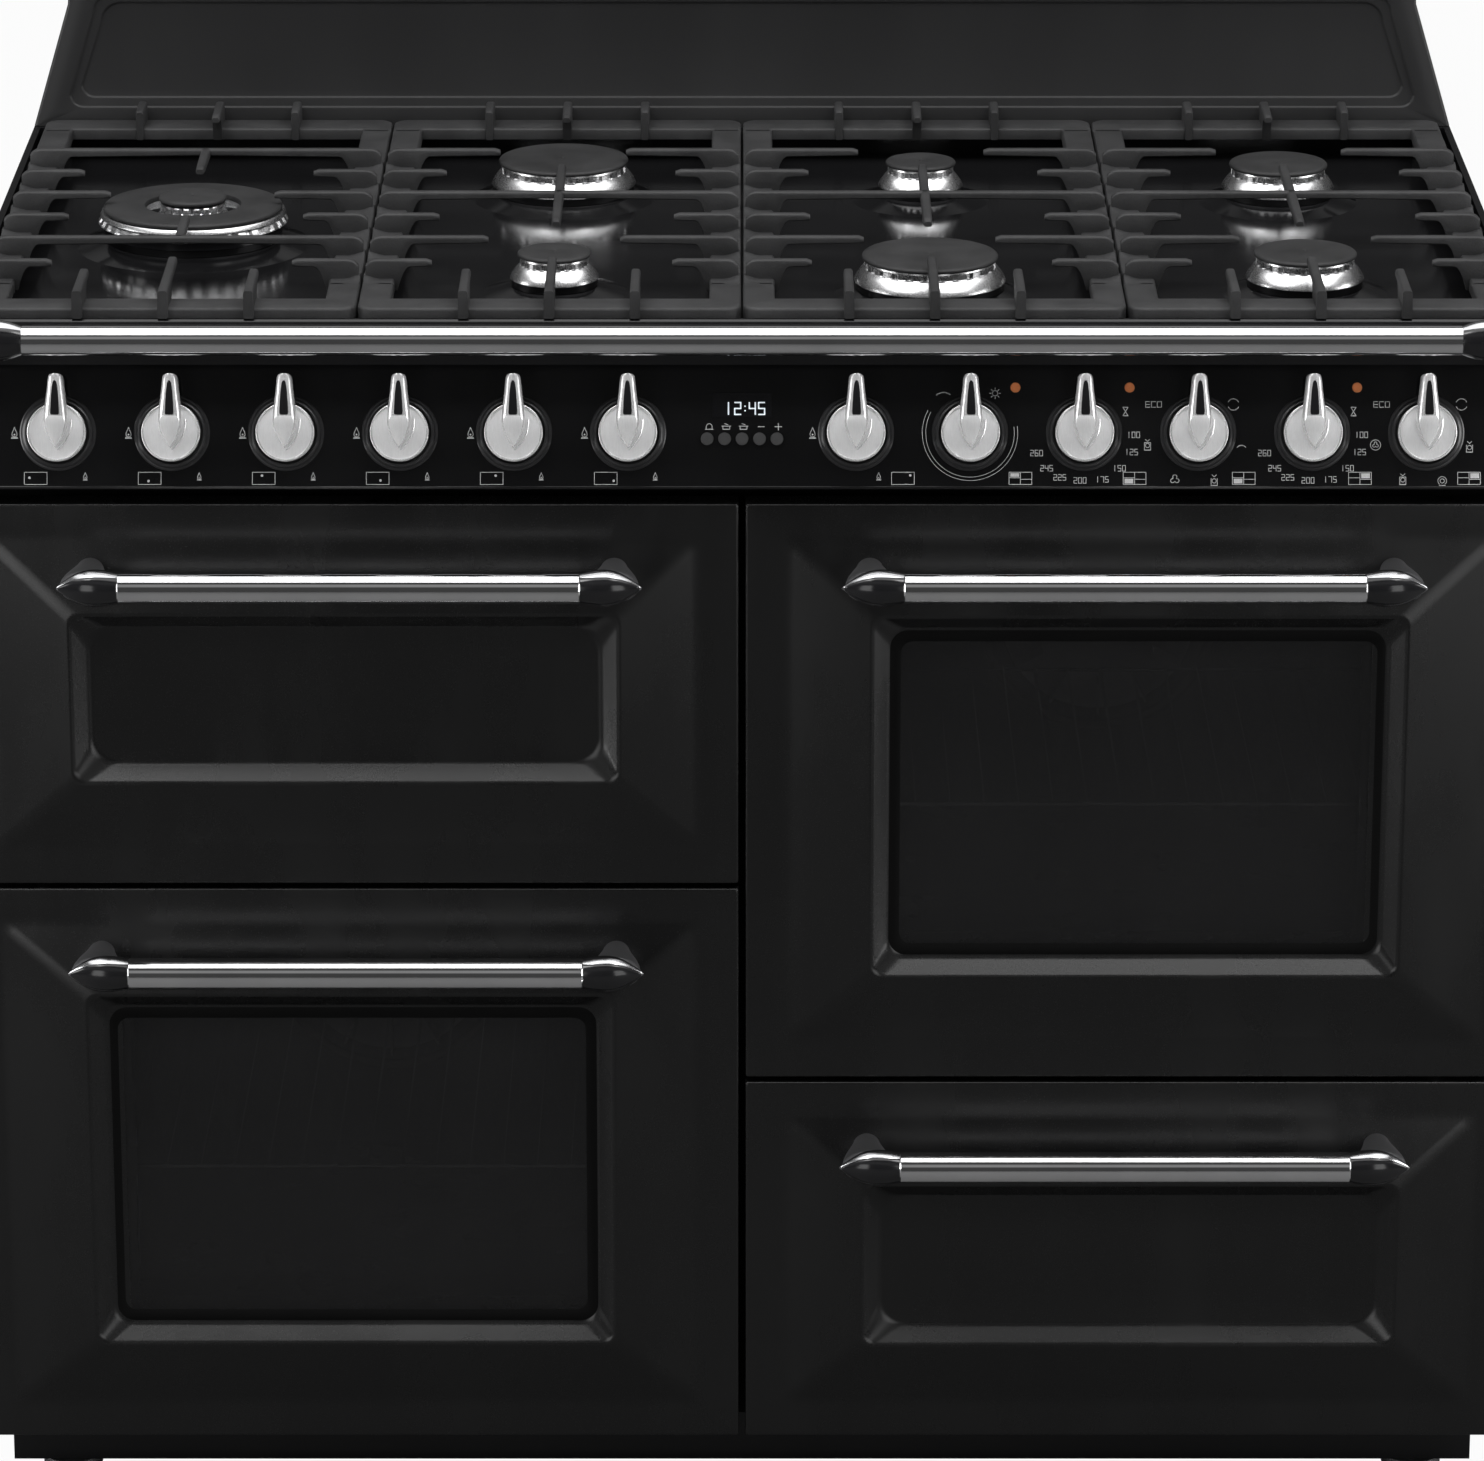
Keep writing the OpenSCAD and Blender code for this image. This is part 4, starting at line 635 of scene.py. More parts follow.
# millimetres out from the panel; outlines are (up the panel, half width)
knob = {
    "discRadius": 20.6, "discTop": 12.6, "top": 25, "base": 11,
    "blade": [(-11.0, 0.4), (-9.5, 1.6), (-5.0, 4.2), (0.0, 6.6), (4.0, 7.8), (8.0, 8.2), (12.0, 8.0),
              (17.0, 7.6), (22.0, 6.9), (29.0, 6.0), (35.0, 5.5), (38.6, 5.1), (40.0, 4.3),
              (40.6, 3.2), (40.8, 1.6)],
    # outline of the dark strip on the lever's top, a painted reflection of its concave top facet
    "darkReflectionStrip": [(11.8, 2.2), (12.4, 2.9), (14.0, 3.1), (20.0, 2.8), (28.0, 2.3), (34.0, 1.5), (35.8, 0.7)],
    "kite": [(-10.4, 0.3), (-8.0, 1.7), (-4.0, 3.8), (0.0, 5.4), (4.0, 6.5), (8.0, 6.6), (10.4, 5.8),
             (11.2, 4.4)],
    # path of a thin bright ridge on the disc beside the lever, standing in for a painted reflection of the
    # lever's side
    "reflectionRidge": [(10.6, 9.0), (10.4, 4.0), (9.2, -1.0), (6.8, -6.0), (3.6, -10.0), (1.0, -12.6)]}


def knobCrest(up):
    # the lever's height, which falls towards its lower end
    crown = 1.0 - 0.35 * max(0.0, (8.0 - up) / 18.0)
    return knob["base"] + (knob["top"] - knob["base"]) * crown


def knobPiece(node, index):
    place = knobPlace(index)
    r, top, base = knob["discRadius"], knob["discTop"], knob["base"]

    def loftPiece(word, rows, finish, smooth=40.0):
        shape = Shape()
        shape.loft([[place @ Vector(point) for point in inMetres(row)] for row in rows])
        shape.piece(f"{node}_{word}", finish, node + "_body", "silver_plastic", smooth, node)

    def lathePiece(word, profile, finish, smooth, closed=False):
        shape = Shape()
        shape.lathe(inMetres(profile), place, 72, closed)
        shape.piece(f"{node}_{word}", finish, node + "_body", "silver_plastic", smooth, node)

    # disc: skirt, bright rolled rim and a slightly dished face
    lathePiece("disc", [
        (3, -31), (3, 0.8), (r - 1.2, 0.8), (r - 0.6, 2), (r, 9), (r, top - 0.2), (r - 0.3, top + 0.35),
        (r - 0.8, top + 0.6), (r - 1.3, top + 0.35), (r - 1.7, top - 0.5), (r - 6, top - 0.35),
        (r - 14, top + 0.2), (1, top + 0.3)], "knobDisc", 35.0)
    lathePiece("rim", [
        (r - 1.5, top - 0.4), (r + 0.05, top - 0.6), (r + 0.05, top + 0.1), (r - 0.3, top + 0.55),
        (r - 0.9, top + 0.7), (r - 1.5, top + 0.4)], "knobLever", 60.0, True)
    # lever: a tapered blade with bright flanks, a dark strip on its top and a kite-shaped lower part; the
    # dark strip is a black slab standing in for a painted reflection on the blade's concave top facet
    rows = []
    for up, half in knob["blade"]:
        z = knobCrest(up)
        flank = [(1.0, base), (1.0, z - 4.6), (0.9, z - 2.6), (0.66, z - 0.5), (0.4, z)]
        rows.append([(share * half, up, height) for share, height in mirrored(flank, (0.0, z))])
    loftPiece("lever", rows, "knobLever", 50.0)
    # black gloss slab on the lever's top: painted reflection
    darkReflectionStrip = Shape()
    outline = [(-half, up) for up, half in knob["darkReflectionStrip"]]
    outline += [(half, up) for up, half in reversed(knob["darkReflectionStrip"])]
    darkReflectionStrip.slab(inMetres(outline), place, (knob["top"] - 1.2) * mm, (knob["top"] + 0.12) * mm)
    darkReflectionStrip.piece(node + "_inlay", "darkGloss", node + "_body", "dark_plastic", replaced=node)
    kiteSide = mirrored([(1.0, 1.5), (1.0, 0.15), (0.9, 0.0)], (0.0, -0.1))
    loftPiece("kite", [[(share * half, up, knobCrest(up) + 0.1 - sunk) for share, sunk in kiteSide]
                       for up, half in knob["kite"]], "knobDisc")
    # thin ridge of the lever's satin chrome on the disc: a painted reflection of the lever's side
    fold = mirrored([(-0.6, -0.8), (-0.5, 0.35)], (0.0, 0.75))
    rows = [[(x + dx, y, top + dz) for dx, dz in fold] for x, y in knob["reflectionRidge"]]
    loftPiece("reflectionRidge", rows, "knobLever")


for node, index in knobIndex.items():
    knobPiece(node, index)
bezels = Shape()
bezelProfile = [(27.0, 0.05), (26.8, 1.0), (26.0, 1.7), (25.2, 1.8), (24.6, 2.6), (23.8, 3.6), (22.9, 4.0),
                (22.2, 3.8), (21.9, 3.0), (21.8, 0.05)]
for index in knobIndex.values():
    bezels.lathe(inMetres(bezelProfile), knobPlace(index), 72, True)
bezels.piece("knob_bezel_rings", "bezel", "range", "dark_plastic", 30.0, "knob_bezels")
print("knobs made")


class Print:
    # thin raised ink on the panel; x and y are millimetres across and up the panel
    strokes = {"a": (0, 1, 1, 1), "b": (1, 1, 1, 0.5), "c": (1, 0.5, 1, 0), "d": (0, 0, 1, 0),
               "e": (0, 0, 0, 0.5), "f": (0, 0.5, 0, 1), "g": (0, 0.5, 1, 0.5), "h": (0.5, 1, 0.5, 0)}
    figures = {"0": "abcdef", "1": "h", "2": "abged", "4": "fgbc", "5": "afgcd", "6": "afgcde", "7": "abc",
               "E": "afged", "C": "afed", "O": "abcdef"}

    def __init__(self, out=0.06 * mm, height=0.10 * mm):
        self.shape = Shape()
        self.low = out
        self.high = out + height

    def plate(self, outline):
        self.shape.slab(inMetres(outline), panelPlace, self.low, self.high)

    def line(self, points, width=0.5, closed=False):
        for (x1, y1), (x2, y2) in zip(points, points[1:] + points[:1] if closed else points[1:]):
            length = math.hypot(x2 - x1, y2 - y1)
            if length < 1e-6:
                continue
            ux, uy = (x2 - x1) / length * width, (y2 - y1) / length * width
            nx, ny, ex, ey = -uy / 2, ux / 2, ux * 0.3, uy * 0.3
            self.plate([(x1 - ex + nx, y1 - ey + ny), (x1 - ex - nx, y1 - ey - ny),
                        (x2 + ex - nx, y2 + ey - ny), (x2 + ex + nx, y2 + ey + ny)])

    def dash(self, x, y, half, width=0.5):
        self.line([(x - half, y), (x + half, y)], width)

    def arc(self, x, y, radius, start, end, width=0.5, steps=24):
        points = []
        for i in range(steps + 1):
            a = math.radians(start + (end - start) * i / steps)
            points.append((x + radius * math.cos(a), y + radius * math.sin(a)))
        self.line(points, width)

    def dot(self, x, y, radius):
        self.plate([(x + dx, y + dy) for dx, dy in circle(radius, 16)])

    def digits(self, text, x, y, height, width, weight=0.45):
        # seven-stroke figures, centred on x and y
        gap = height * 0.28
        left = x - (len(text) * width + (len(text) - 1) * gap) / 2
        low = y - height / 2
        for i, letter in enumerate(text):
            x0 = left + i * (width + gap)
            for stroke in self.figures[letter]:
                ax, ay, bx, by = self.strokes[stroke]
                ends = [(x0 + ax * width, low + ay * height), (x0 + bx * width, low + by * height)]
                self.line(ends, weight)

    def flame(self, x, y, size):
        # a pointed drop on a short bar
        side = [(0.0, 0.62), (0.1, 0.34), (0.24, 0.06), (0.3, -0.18), (0.22, -0.4), (0.0, -0.46)]
        outline = side + [(-a, b) for a, b in reversed(side[1:-1])]
        bar = [(-0.42, -0.66), (0.42, -0.66), (0.34, -0.52), (-0.34, -0.52)]
        self.line([(x + size * a, y + size * b) for a, b in outline], 0.4, True)
        self.dot(x, y - size * 0.2, size * 0.1)
        self.plate([(x + size * a, y + size * b) for a, b in bar])

    def pictogram(self, x, y, dotAt=None, cell=None):
        # a small plan of the cooker with the place that the knob works
        w, h = 8.0, 4.3
        split = {"left": y + 0.1 * h, "right": y - 0.15 * h}
        self.line([(x - w, y - h), (x + w, y - h), (x + w, y + h), (x - w, y + h)], 0.4, True)
        if dotAt:
            self.dot(x + dotAt[0] * w, y + dotAt[1] * h, 0.9)
        if cell:
            side, level = cell
            self.line([(x, y - h), (x, y + h)], 0.4)
            self.line([(x - w, split["left"]), (x, split["left"])], 0.4)
            self.line([(x, split["right"]), (x + w, split["right"])], 0.4)
            x0 = (x - w if side == "left" else x) + 0.9
            x1 = x0 + w - 1.8
            y0, y1 = (split[side], y + h) if level == "top" else (y - h, split[side])
            self.plate([(x0, y0 + 0.7), (x1, y0 + 0.7), (x1, y1 - 0.7), (x0, y1 - 0.7)])

    def finish(self, name, finish="ink", slot="dark_plastic"):
        self.shape.piece(name, finish, "range", slot)


photo = {"midX": 741.5, "scaleX": 1.405, "panelLow": 487.1, "scaleUp": 1.402}


def atPixel(u, v):
    # a pixel of the photograph on the face of the panel, in millimetres across and up it
    return (u - photo["midX"]) / photo["scaleX"], (photo["panelLow"] - v) / photo["scaleUp"]


def nearKnob(name, right, up):
    # a place that lies so many of the photograph's pixels right of a knob's middle and above it
    x = knobIndex[name] * panel["knobPitch"]
    return x + right / photo["scaleX"], panel["knobUp"] + up / photo["scaleUp"]


def gasPrint():
    ink = Print()
    dots = [(-0.55, 0.1), (-0.1, -0.45), (-0.15, 0.45), (0.25, -0.35), (0.35, 0.45), (0.7, -0.4),
            (0.65, 0.5)]
    for number, dotAt in enumerate(dots, 1):
        x = knobIndex[f"gas_knob_{number}"] * panel["knobPitch"]
        flameX, planX = (19.2, -15.7) if number < len(dots) else (16.0, 33.0)
        ink.flame(x - 43 / photo["scaleX"], atPixel(0, 431)[1], 6.2)
        ink.flame(x + flameX, atPixel(0, 474)[1], 4.3)
        ink.pictogram(x + planX, atPixel(0, 476)[1], dotAt)
    ink.finish("gas_print")


# by knob: pixels right of its middle, pixels above it, what stands there
thermostatMarks = [("100", 49, -2), ("125", 47, -19), ("150", 35, -35), ("175", 18, -46), ("200", -4, -47),
                   ("225", -24, -44), ("245", -37, -35), ("260", -47, -20)]
functionMarks = {
    "left_function_knob": [("fanOverBase", -50, -12), ("fan", -23, -46), ("fanBase", 16, -47)],
    "right_function_knob": [("fanRing", -50, -12), ("fanOverBase", -23, -46), ("ringBase", 16, -47),
                            ("fanBase", 43, -14)]}
# by plan of the cooker: pixel across, its filled part
ovenPlans = [(1017, ("left", "top")), (1130, ("left", "low")), (1238, ("left", "low")),
             (1353, ("right", "top")), (1461, ("right", "top"))]


def ovenPrint():
    ink = Print()
    # grill knob: power arcs, grill sign and lamp sign
    for radius in (31.2, 33.6):
        ink.arc(*nearKnob("grill_knob", 0, 0), radius, 152, 368, 0.35, 60)
    x, y = atPixel(941, 394)
    ink.arc(x, y - 6, 8, 60, 120, 0.7, 3)
    for a in (55, 85, 115):
        ink.arc(x, y - 6, 8, a, a + 14, 0.8, 2)
    x, y = atPixel(992, 392)
    ink.arc(x, y, 1.9, 0, 360, 0.5, 16)
    for c, s in circle(1.0, 8):
        ink.line([(x + 2.7 * c, y + 2.7 * s), (x + 3.9 * c, y + 3.9 * s)])
    for name in ("left_thermostat_knob", "right_thermostat_knob"):
        for text, right, up in thermostatMarks:
            ink.digits(text, *nearKnob(name, right, up), 4.0, 2.1)
        fanSign(ink, *nearKnob(name, 41, 21), 3.0)
    for name, marks in functionMarks.items():
        ink.digits("ECO", *nearKnob(name, -44, 28), 3.9, 3.0)
        for kind, right, up in marks:
            ovenSign(ink, *nearKnob(name, right, up), 3.6, kind)
        for start in (25, 205):
            ink.arc(*nearKnob(name, 35, 28), 4.0, start, start + 130, 0.5, 8)
    ink.arc(*nearKnob("left_function_knob", 43, -18), 4.0, 40, 140, 0.6, 8)
    for u, cell in ovenPlans:
        ink.pictogram(*atPixel(u, 476), cell=cell)
    ink.finish("oven_print")


def fanSign(ink, x, y, size):
    # two crossed blades
    half = size * 0.6
    for side in (-1, 1):
        ink.line([(x - side * half, y + size), (x + side * half, y - size)])
    for end in (-1, 1):
        ink.dash(x, y + end * size, half)


def ovenSign(ink, x, y, size, kind):
    # fan, ring and base bars in the combinations of the oven's settings
    half = size * 0.6
    if kind in ("fan", "fanRing"):
        reach = size * 0.9 if kind == "fan" else half
        for turn in (90, 210, 330):
            a = math.radians(turn)
            bx, by = x + reach * 0.55 * math.cos(a), y + reach * 0.55 * math.sin(a)
            ink.arc(bx, by, reach * 0.45, turn - 130, turn + 130, 0.45, 8)
        if kind == "fanRing":
            ink.arc(x, y, size, 0, 360, 0.45, 24)
        return
    ink.arc(x, y - size * 0.1, size * 0.42, 0, 360, 0.5, 14)
    ink.dash(x, y - size, half, 0.6)
    if kind == "ringBase":
        ink.arc(x, y - size * 0.1, size * 0.85, -50, 230, 0.45, 16)
        return
    for side in (-1, 1):
        ink.line([(x + side * half, y - size), (x + side * half, y + size * 0.4)], 0.45)
        ink.line([(x, y + size * 0.7), (x + side * size * 0.45, y + size * 1.1)], 0.45)
    if kind == "fanOverBase":
        ink.dash(x, y + size * 0.45, half)


def clockPrint():
    glow = Print(0.25 * mm, 0.06 * mm)
    x, y = atPixel(744.5, 407)
    for text, side in (("12", -1), ("45", 1)):
        glow.digits(text, x + side * 8.4, y, 8.4, 4.2, 1.0)
    for up in (1.6, -1.6):
        glow.dot(x, y + up, 0.6)
    glow.finish("clock_digits", "digits", "clock_plastic")
    # bell, two pots, minus and plus above the buttons
    ink = Print()
    x, y = atPixel(709, 425)
    ink.arc(x, y, 2.1, 0, 180, 0.5, 8)
    for side in (-2.1, 2.1):
        ink.line([(x + side, y), (x + side, y - 1.4)])
    ink.dash(x, y - 1.8, 2.8)
    for u in (726, 743):
        x, y = atPixel(u, 425)
        ink.line([(x - 2.4, y + 0.4), (x - 2.4, y - 1.8), (x + 2.4, y - 1.8), (x + 2.4, y + 0.4)])
        ink.dash(x, y + 0.4, 3.2)
        ink.line([(x - 1.2, y + 2.2), (x + 1.2, y + 1.4)], 0.4)
    ink.dash(*atPixel(760.5, 425), 2.2, 0.6)
    x, y = atPixel(777.5, 425)
    ink.dash(x, y, 2.4, 0.6)
    ink.line([(x, y - 2.4), (x, y + 2.4)], 0.6)
    ink.finish("clock_print")


gasPrint()
ovenPrint()
clockPrint()
print("panel printed")


grate = millimetres(
    width=268.8, front=6, depth=572, pitch=270, bar=29, side=22.5, plate=72, rearPlate=40, corner=12,
    frameLow=897.8, frameTop=906.8, rimTop=900.6, footLow=880.3, footIn=14, footBack=16, overlap=4, soft=2.0,
    crest=4.0, crestRun=19, fingerTop=920.5, fingerHalf=3.5, fingerDeep=6.5, tipDeep=5.0, sweep=9,
    fingerPitch=66.7, short=49, long=87, wok=74, rootIn=2, rootOut=2, rootFall=4, middleBar=88,
    wokBar=62, aside=60)
# by end of a grate: where its bars hook in, and how far the outer ones and the middle one reach
grateEnds = {-1: inMetres([(5, 62, 96)])[0], 1: inMetres([(2, 31, 48)])[0]}


def castBar(shape, start, end, solid=0.0, hook=0.0, fall=0.0, flare=0.0, blunt=True):
    # a cast finger: deep over the frame's bar, hollowed beyond it, with a bevelled tip
    start, end = Vector(start), Vector(end)
    along = (end - start).normalized()
    across = Vector((-along.y, along.x))
    length = (end - start).length
    low, top, deep = grate["frameLow"], grate["fingerTop"], grate["fingerDeep"]
    runs = [run * mm for run in (0.0, 0.8, 2, 4, 7, 10, 14)]
    if hook:
        runs += [hook - 0.02 * mm, hook + 0.02 * mm]
    if solid:
        runs += [solid + grate["sweep"] * k / 6 for k in range(7)]
    runs += [length * 0.5] + [length - left * mm for left in (9, 4, 1.6, 0.5, 0)]
    rows = []
    for run in sorted(r for r in set(runs) if 0 <= r <= length):
        share = run / length
        thin = top - deep + (deep - grate["tipDeep"]) * share
        rise = max(0.0, 1 - max(0.0, run - solid) / grate["sweep"]) if solid else 0.0
        ground = thin - (thin - low) * rise ** 2
        if run < hook:
            ground = grate["rimTop"]
        left = length - run
        z = top - fall * max(0.0, 1 - run / (7 * mm)) ** 2
        w = grate["fingerHalf"] * (1.0 - 0.08 * share) * (1.0 + flare * max(0.0, 1 - run / (13 * mm)) ** 2)
        if blunt and left < 4 * mm:
            z -= 1.3 * mm * (1 - left / (4 * mm))
            w *= 1.0 - 0.2 * (1 - left / (4 * mm)) ** 2
        base = start + along * run
        half = [(0.8, ground), (1.04, ground + 0.8 * mm), (1.02, (ground + z) / 2), (0.97, z - 1.6 * mm),
                (0.82, z - 0.5 * mm), (0.5, z)]
        rows.append([(*(base + across * w * a), level) for a, level in mirrored(half)])
    shape.loft(rows)


def castPlate(shape, outline, low, top, soft):
    # a flat part of the casting, rounded over at its upper edge
    rings = []
    for inset, z in ((0.0, low), (0.0, top - soft), (soft * 0.3, top - soft * 0.3), (soft, top)):
        ring = shrunk(outline, inset) if inset else outline
        rings.append([(x, y, z) for x, y in ring])
    shape.loft(rings)


def cornerArc(cx, cy, radius, start, steps=6):
    turns = [math.radians(start + 90 * i / steps) for i in range(steps + 1)]
    return [(cx + radius * math.cos(a), cy + radius * math.sin(a)) for a in turns]


def sideBar(shape, x, s, y0, y1, fingerRows):
    # flat bar whose outer edge rises in a curve to every finger
    halfW, side = grate["width"] / 2, grate["side"]
    low, top = grate["frameLow"], grate["frameTop"]
    rows = []
    count = int((y1 - y0) / (2.5 * mm))
    for i in range(count + 1):
        y = y0 + (y1 - y0) * i / count
        near = min(abs(y - f) for f in fingerRows)
        wave = grate["crest"] * max(0.0, 1 - near / grate["crestRun"]) ** 2
        section = [(side, low), (side, top - 1.2 * mm), (side - 1.2 * mm, top), (12 * mm, top),
                   (8 * mm, top + wave * 0.3), (5 * mm, top + wave * 0.75), (2.6 * mm, top + wave),
                   (0.8 * mm, top + wave - 0.5 * mm), (0.1 * mm, top + wave - 2 * mm), (0.1 * mm, low)]
        rows.append([(x + s * (halfW - a), y, z) for a, z in section])
    shape.loft(rows)


def panSupport(node, index, longReach, bars):
    shape = Shape()
    x = (index - 1.5) * grate["pitch"]
    halfW = grate["width"] / 2
    y0 = faceY + grate["front"]
    y1 = y0 + grate["depth"]
    midY, halfD = (y0 + y1) / 2, (y1 - y0) / 2
    low, top = grate["frameLow"], grate["frameTop"]
    side, bar, turn = grate["side"], grate["bar"], grate["corner"]
    for k, plate in ((-1, grate["plate"]), (1, grate["rearPlate"])):
        edge = midY + k * halfD
        inner, wing, turnY = edge - k * bar, edge - k * plate, edge - k * turn
        right = [(x + halfW - side, inner), (x + halfW - side, wing), (x + halfW, wing)]
        left = [(x - halfW, wing), (x - halfW + side, wing), (x - halfW + side, inner)]
        rightTurn, leftTurn = (x + halfW - turn, turnY, turn), (x - halfW + turn, turnY, turn)
        if k > 0:
            outline = cornerArc(*rightTurn, 0) + cornerArc(*leftTurn, 90) + left + right
        else:
            outline = cornerArc(*rightTurn, -90) + right[::-1] + left[::-1] + cornerArc(*leftTurn, 180)
        castPlate(shape, outline, low, top, grate["soft"])
    fingers = [(k, midY + k * grate["fingerPitch"]) for k in range(-3, 3)]
    barLow, barHigh = y0 + grate["plate"] - grate["overlap"], y1 - grate["rearPlate"] + grate["overlap"]
    for s in (-1, 1):
        sideBar(shape, x, s, barLow, barHigh, [y for _, y in fingers])
    foot = [(4.6 * mm, grate["footLow"]), (5.6 * mm, grate["footLow"] + 1 * mm), (6 * mm, low + 2 * mm)]
    for s in (-1, 1):
        for y in (y0 + grate["footBack"], y1 - grate["footBack"]):
            shape.lathe(foot, Matrix.Translation((x + s * (halfW - grate["footIn"]), y, 0)), 20)
    root = halfW - grate["rootIn"]
    solid = side - grate["rootIn"] + grate["rootOut"]
    for k, y in fingers:
        for s in (-1, 1):
            reach = halfW if k in bars else longReach if k % 2 == 0 else grate["short"]
            castBar(shape, (x + s * root, y), (x + s * (halfW - reach), y), solid, fall=grate["rootFall"],
                    flare=0.1, blunt=k not in bars)
    for k, (hook, outer, middle) in grateEnds.items():
        edge = midY + k * halfD
        solid = hook + bar + grate["rootOut"]
        for dx, reach in ((-grate["aside"], outer), (grate["aside"], outer), (0.0, middle)):
            castBar(shape, (x + dx, edge + k * hook), (x + dx, edge - k * reach), solid, hook)
    if len(bars) == 1:
        for s in (-1, 1):
            castBar(shape, (x, midY), (x, midY + s * grate["middleBar"]))
    else:
        for k in bars:
            y = midY + k * grate["fingerPitch"]
            castBar(shape, (x, y), (x, y - math.copysign(grate["wokBar"], k)))
    shape.piece(node + "_casting", "castIron", node + "_body", "cast_iron", 45.0, node)


panSupport("pan_support_far_left", 0, grate["wok"], [-2, 2])
panSupport("pan_support_mid_left", 1, grate["long"], [0])
panSupport("pan_support_mid_right", 2, grate["long"], [0])
panSupport("pan_support_far_right", 3, grate["long"], [0])
print("pan supports cast")


# burners in millimetres; each place: across, behind the doors' faces, cap radius, spreader radius
burner = {"spreaderZ": 891.2, "capZ": 907.3, "coreUp": 6.5, "wok": (-405, 292), "wokCap": (66, 35),
          "wokCore": (25, 0.6)}
burnerPlaces = [
    (-135, 435, 49, 54.5), (-135, 152, 26.5, 32), (135, 428, 26.5, 32), (135, 145, 49, 54.5),
    (405, 422, 37, 42.5), (405, 152, 37, 42.5)]
# turned profiles: radius, height and whether the flame ports cut it back
crownProfile = [
    (-0.5, 0, 0), (0, 0.5, 0), (-0.1, 1.1, 0), (-1.6, 4.0, 0), (-3.9, 7.3, 0), (-6.2, 9.9, 0),
    (-6.9, 10.4, 0), (-7.1, 10.7, 1), (-7.3, 14.2, 1), (-7.7, 14.6, 0), (-8.0, 15.9, 0)]
wokProfiles = [
    ([(46, 7, 0), (69.4, 7, 0), (69.8, 7.5, 0), (69.4, 8.2, 1), (67.2, 11.6, 1), (66.8, 12.0, 0),
      (68.2, 12.3, 0), (68.4, 12.8, 0), (67.4, 15.2, 0), (66.8, 15.8, 0), (46, 15.8, 0)], 36),
    ([(25, 0.5, 0), (47, 0.5, 0), (47, 3.6, 0), (44, 4.4, 0), (30, 5.2, 0), (27, 5.2, 0), (25, 4, 0)], 0),
    ([(8, 5, 0), (26.3, 5, 0), (26.3, 12, 0), (25.4, 13, 0), (24.6, 13.6, 0), (24.3, 17.0, 1),
      (24.1, 20.4, 1), (23.6, 21.2, 0), (8, 22.2, 0)], 20)]
wokBase = [(46, 0, 0), (66, 0, 0), (66.6, 0.6, 0), (66.6, 6.2, 0), (66.0, 6.9, 0), (46, 6.9, 0)]


def turned(shape, place, profile, slots=0, segments=72):
    # lathed ring, cut back at its flame ports
    count = slots * 6 if slots else segments
    rings = []
    for r, h, cutIn in profile:
        deep = [1.8 if cutIn and slots and k % 6 < 2 else 0.0 for k in range(count)]
        rings.append([place @ Vector(((r - d) * mm * c, (r - d) * mm * s, h * mm))
                      for d, (c, s) in zip(deep, circle(1.0, count))])
    shape.loft(rings, True)


def domed(r, hole):
    # upper side of a cap, from its lower edge to its middle or its hole
    outer = [(r - 1.4, 0.0), (r - 0.3, 0.5), (r, 1.4), (r - 0.1, 2.2), (r - 0.9, 3.1), (r - 2.6, 3.6),
             (r * 0.82, 3.9)]
    inner = [(hole + 2.4, 4.0), (hole + 0.6, 3.5), (hole, 2.4), (hole, 0.0)]
    return [(radius, height, 0) for radius, height in outer + inner]


def burnerSet():
    caps, crowns, bases = Shape(), Shape(), Shape()

    def at(x, back, z):
        return Matrix.Translation((x * mm, faceY + back * mm, z * mm))

    for x, back, capR, skirtR in burnerPlaces:
        turned(caps, at(x, back, burner["capZ"]), domed(capR, 0.6))
        inner = capR * 0.5
        skirt = [(skirtR + r, h, port) for r, h, port in crownProfile]
        turned(crowns, at(x, back, burner["spreaderZ"]), [(inner, 0, 0), *skirt, (inner, 15.9, 0)], 26)
    turned(caps, at(*burner["wok"], burner["capZ"]), domed(*burner["wokCap"]), 0, 96)
    turned(caps, at(*burner["wok"], burner["capZ"] + burner["coreUp"]), domed(*burner["wokCore"]))
    place = at(*burner["wok"], burner["spreaderZ"])
    for profile, slots in wokProfiles:
        turned(crowns, place, profile, slots)
    turned(bases, place, wokBase)
    caps.piece("burner_cap_discs", "capIron", "range", "cast_iron", 35.0, "burner_caps")
    crowns.piece("burner_crowns", "spreader", "range", "burner_aluminium", 28.0, "flame_spreaders")
    bases.piece("wok_burner_base", "darkGloss", "range", "burner_base", 35.0)


burnerSet()
print("burners made")


splash = {
    "slope": math.radians(12.4),
    **millimetres(topRound=34, edge=2.2, frame=25, foot=15, lowRound=10, midRound=16, ledge=1.5,
                  ledgeRun=7.5, soft=1.0)}


def splashOutline(low, high, inset, foot, topRound, lowRound):
    # outline in X and Z with leaning sides, anticlockwise from the lower right
    z0, z1 = low[2] + foot, high[2] - inset

    def edgeX(z):
        return high[0] - inset - (z - low[2]) * math.tan(splash["slope"])

    right = []
    lower = (edgeX(z0) - lowRound, z0 + lowRound, lowRound, -90, 8)
    upper = (edgeX(z1) - topRound, z1 - topRound, topRound, 0, 12)
    for cx, cz, radius, start, steps in (lower, upper):
        right += cornerArc(cx, cz, radius, start, steps)
    return mirrored(right)


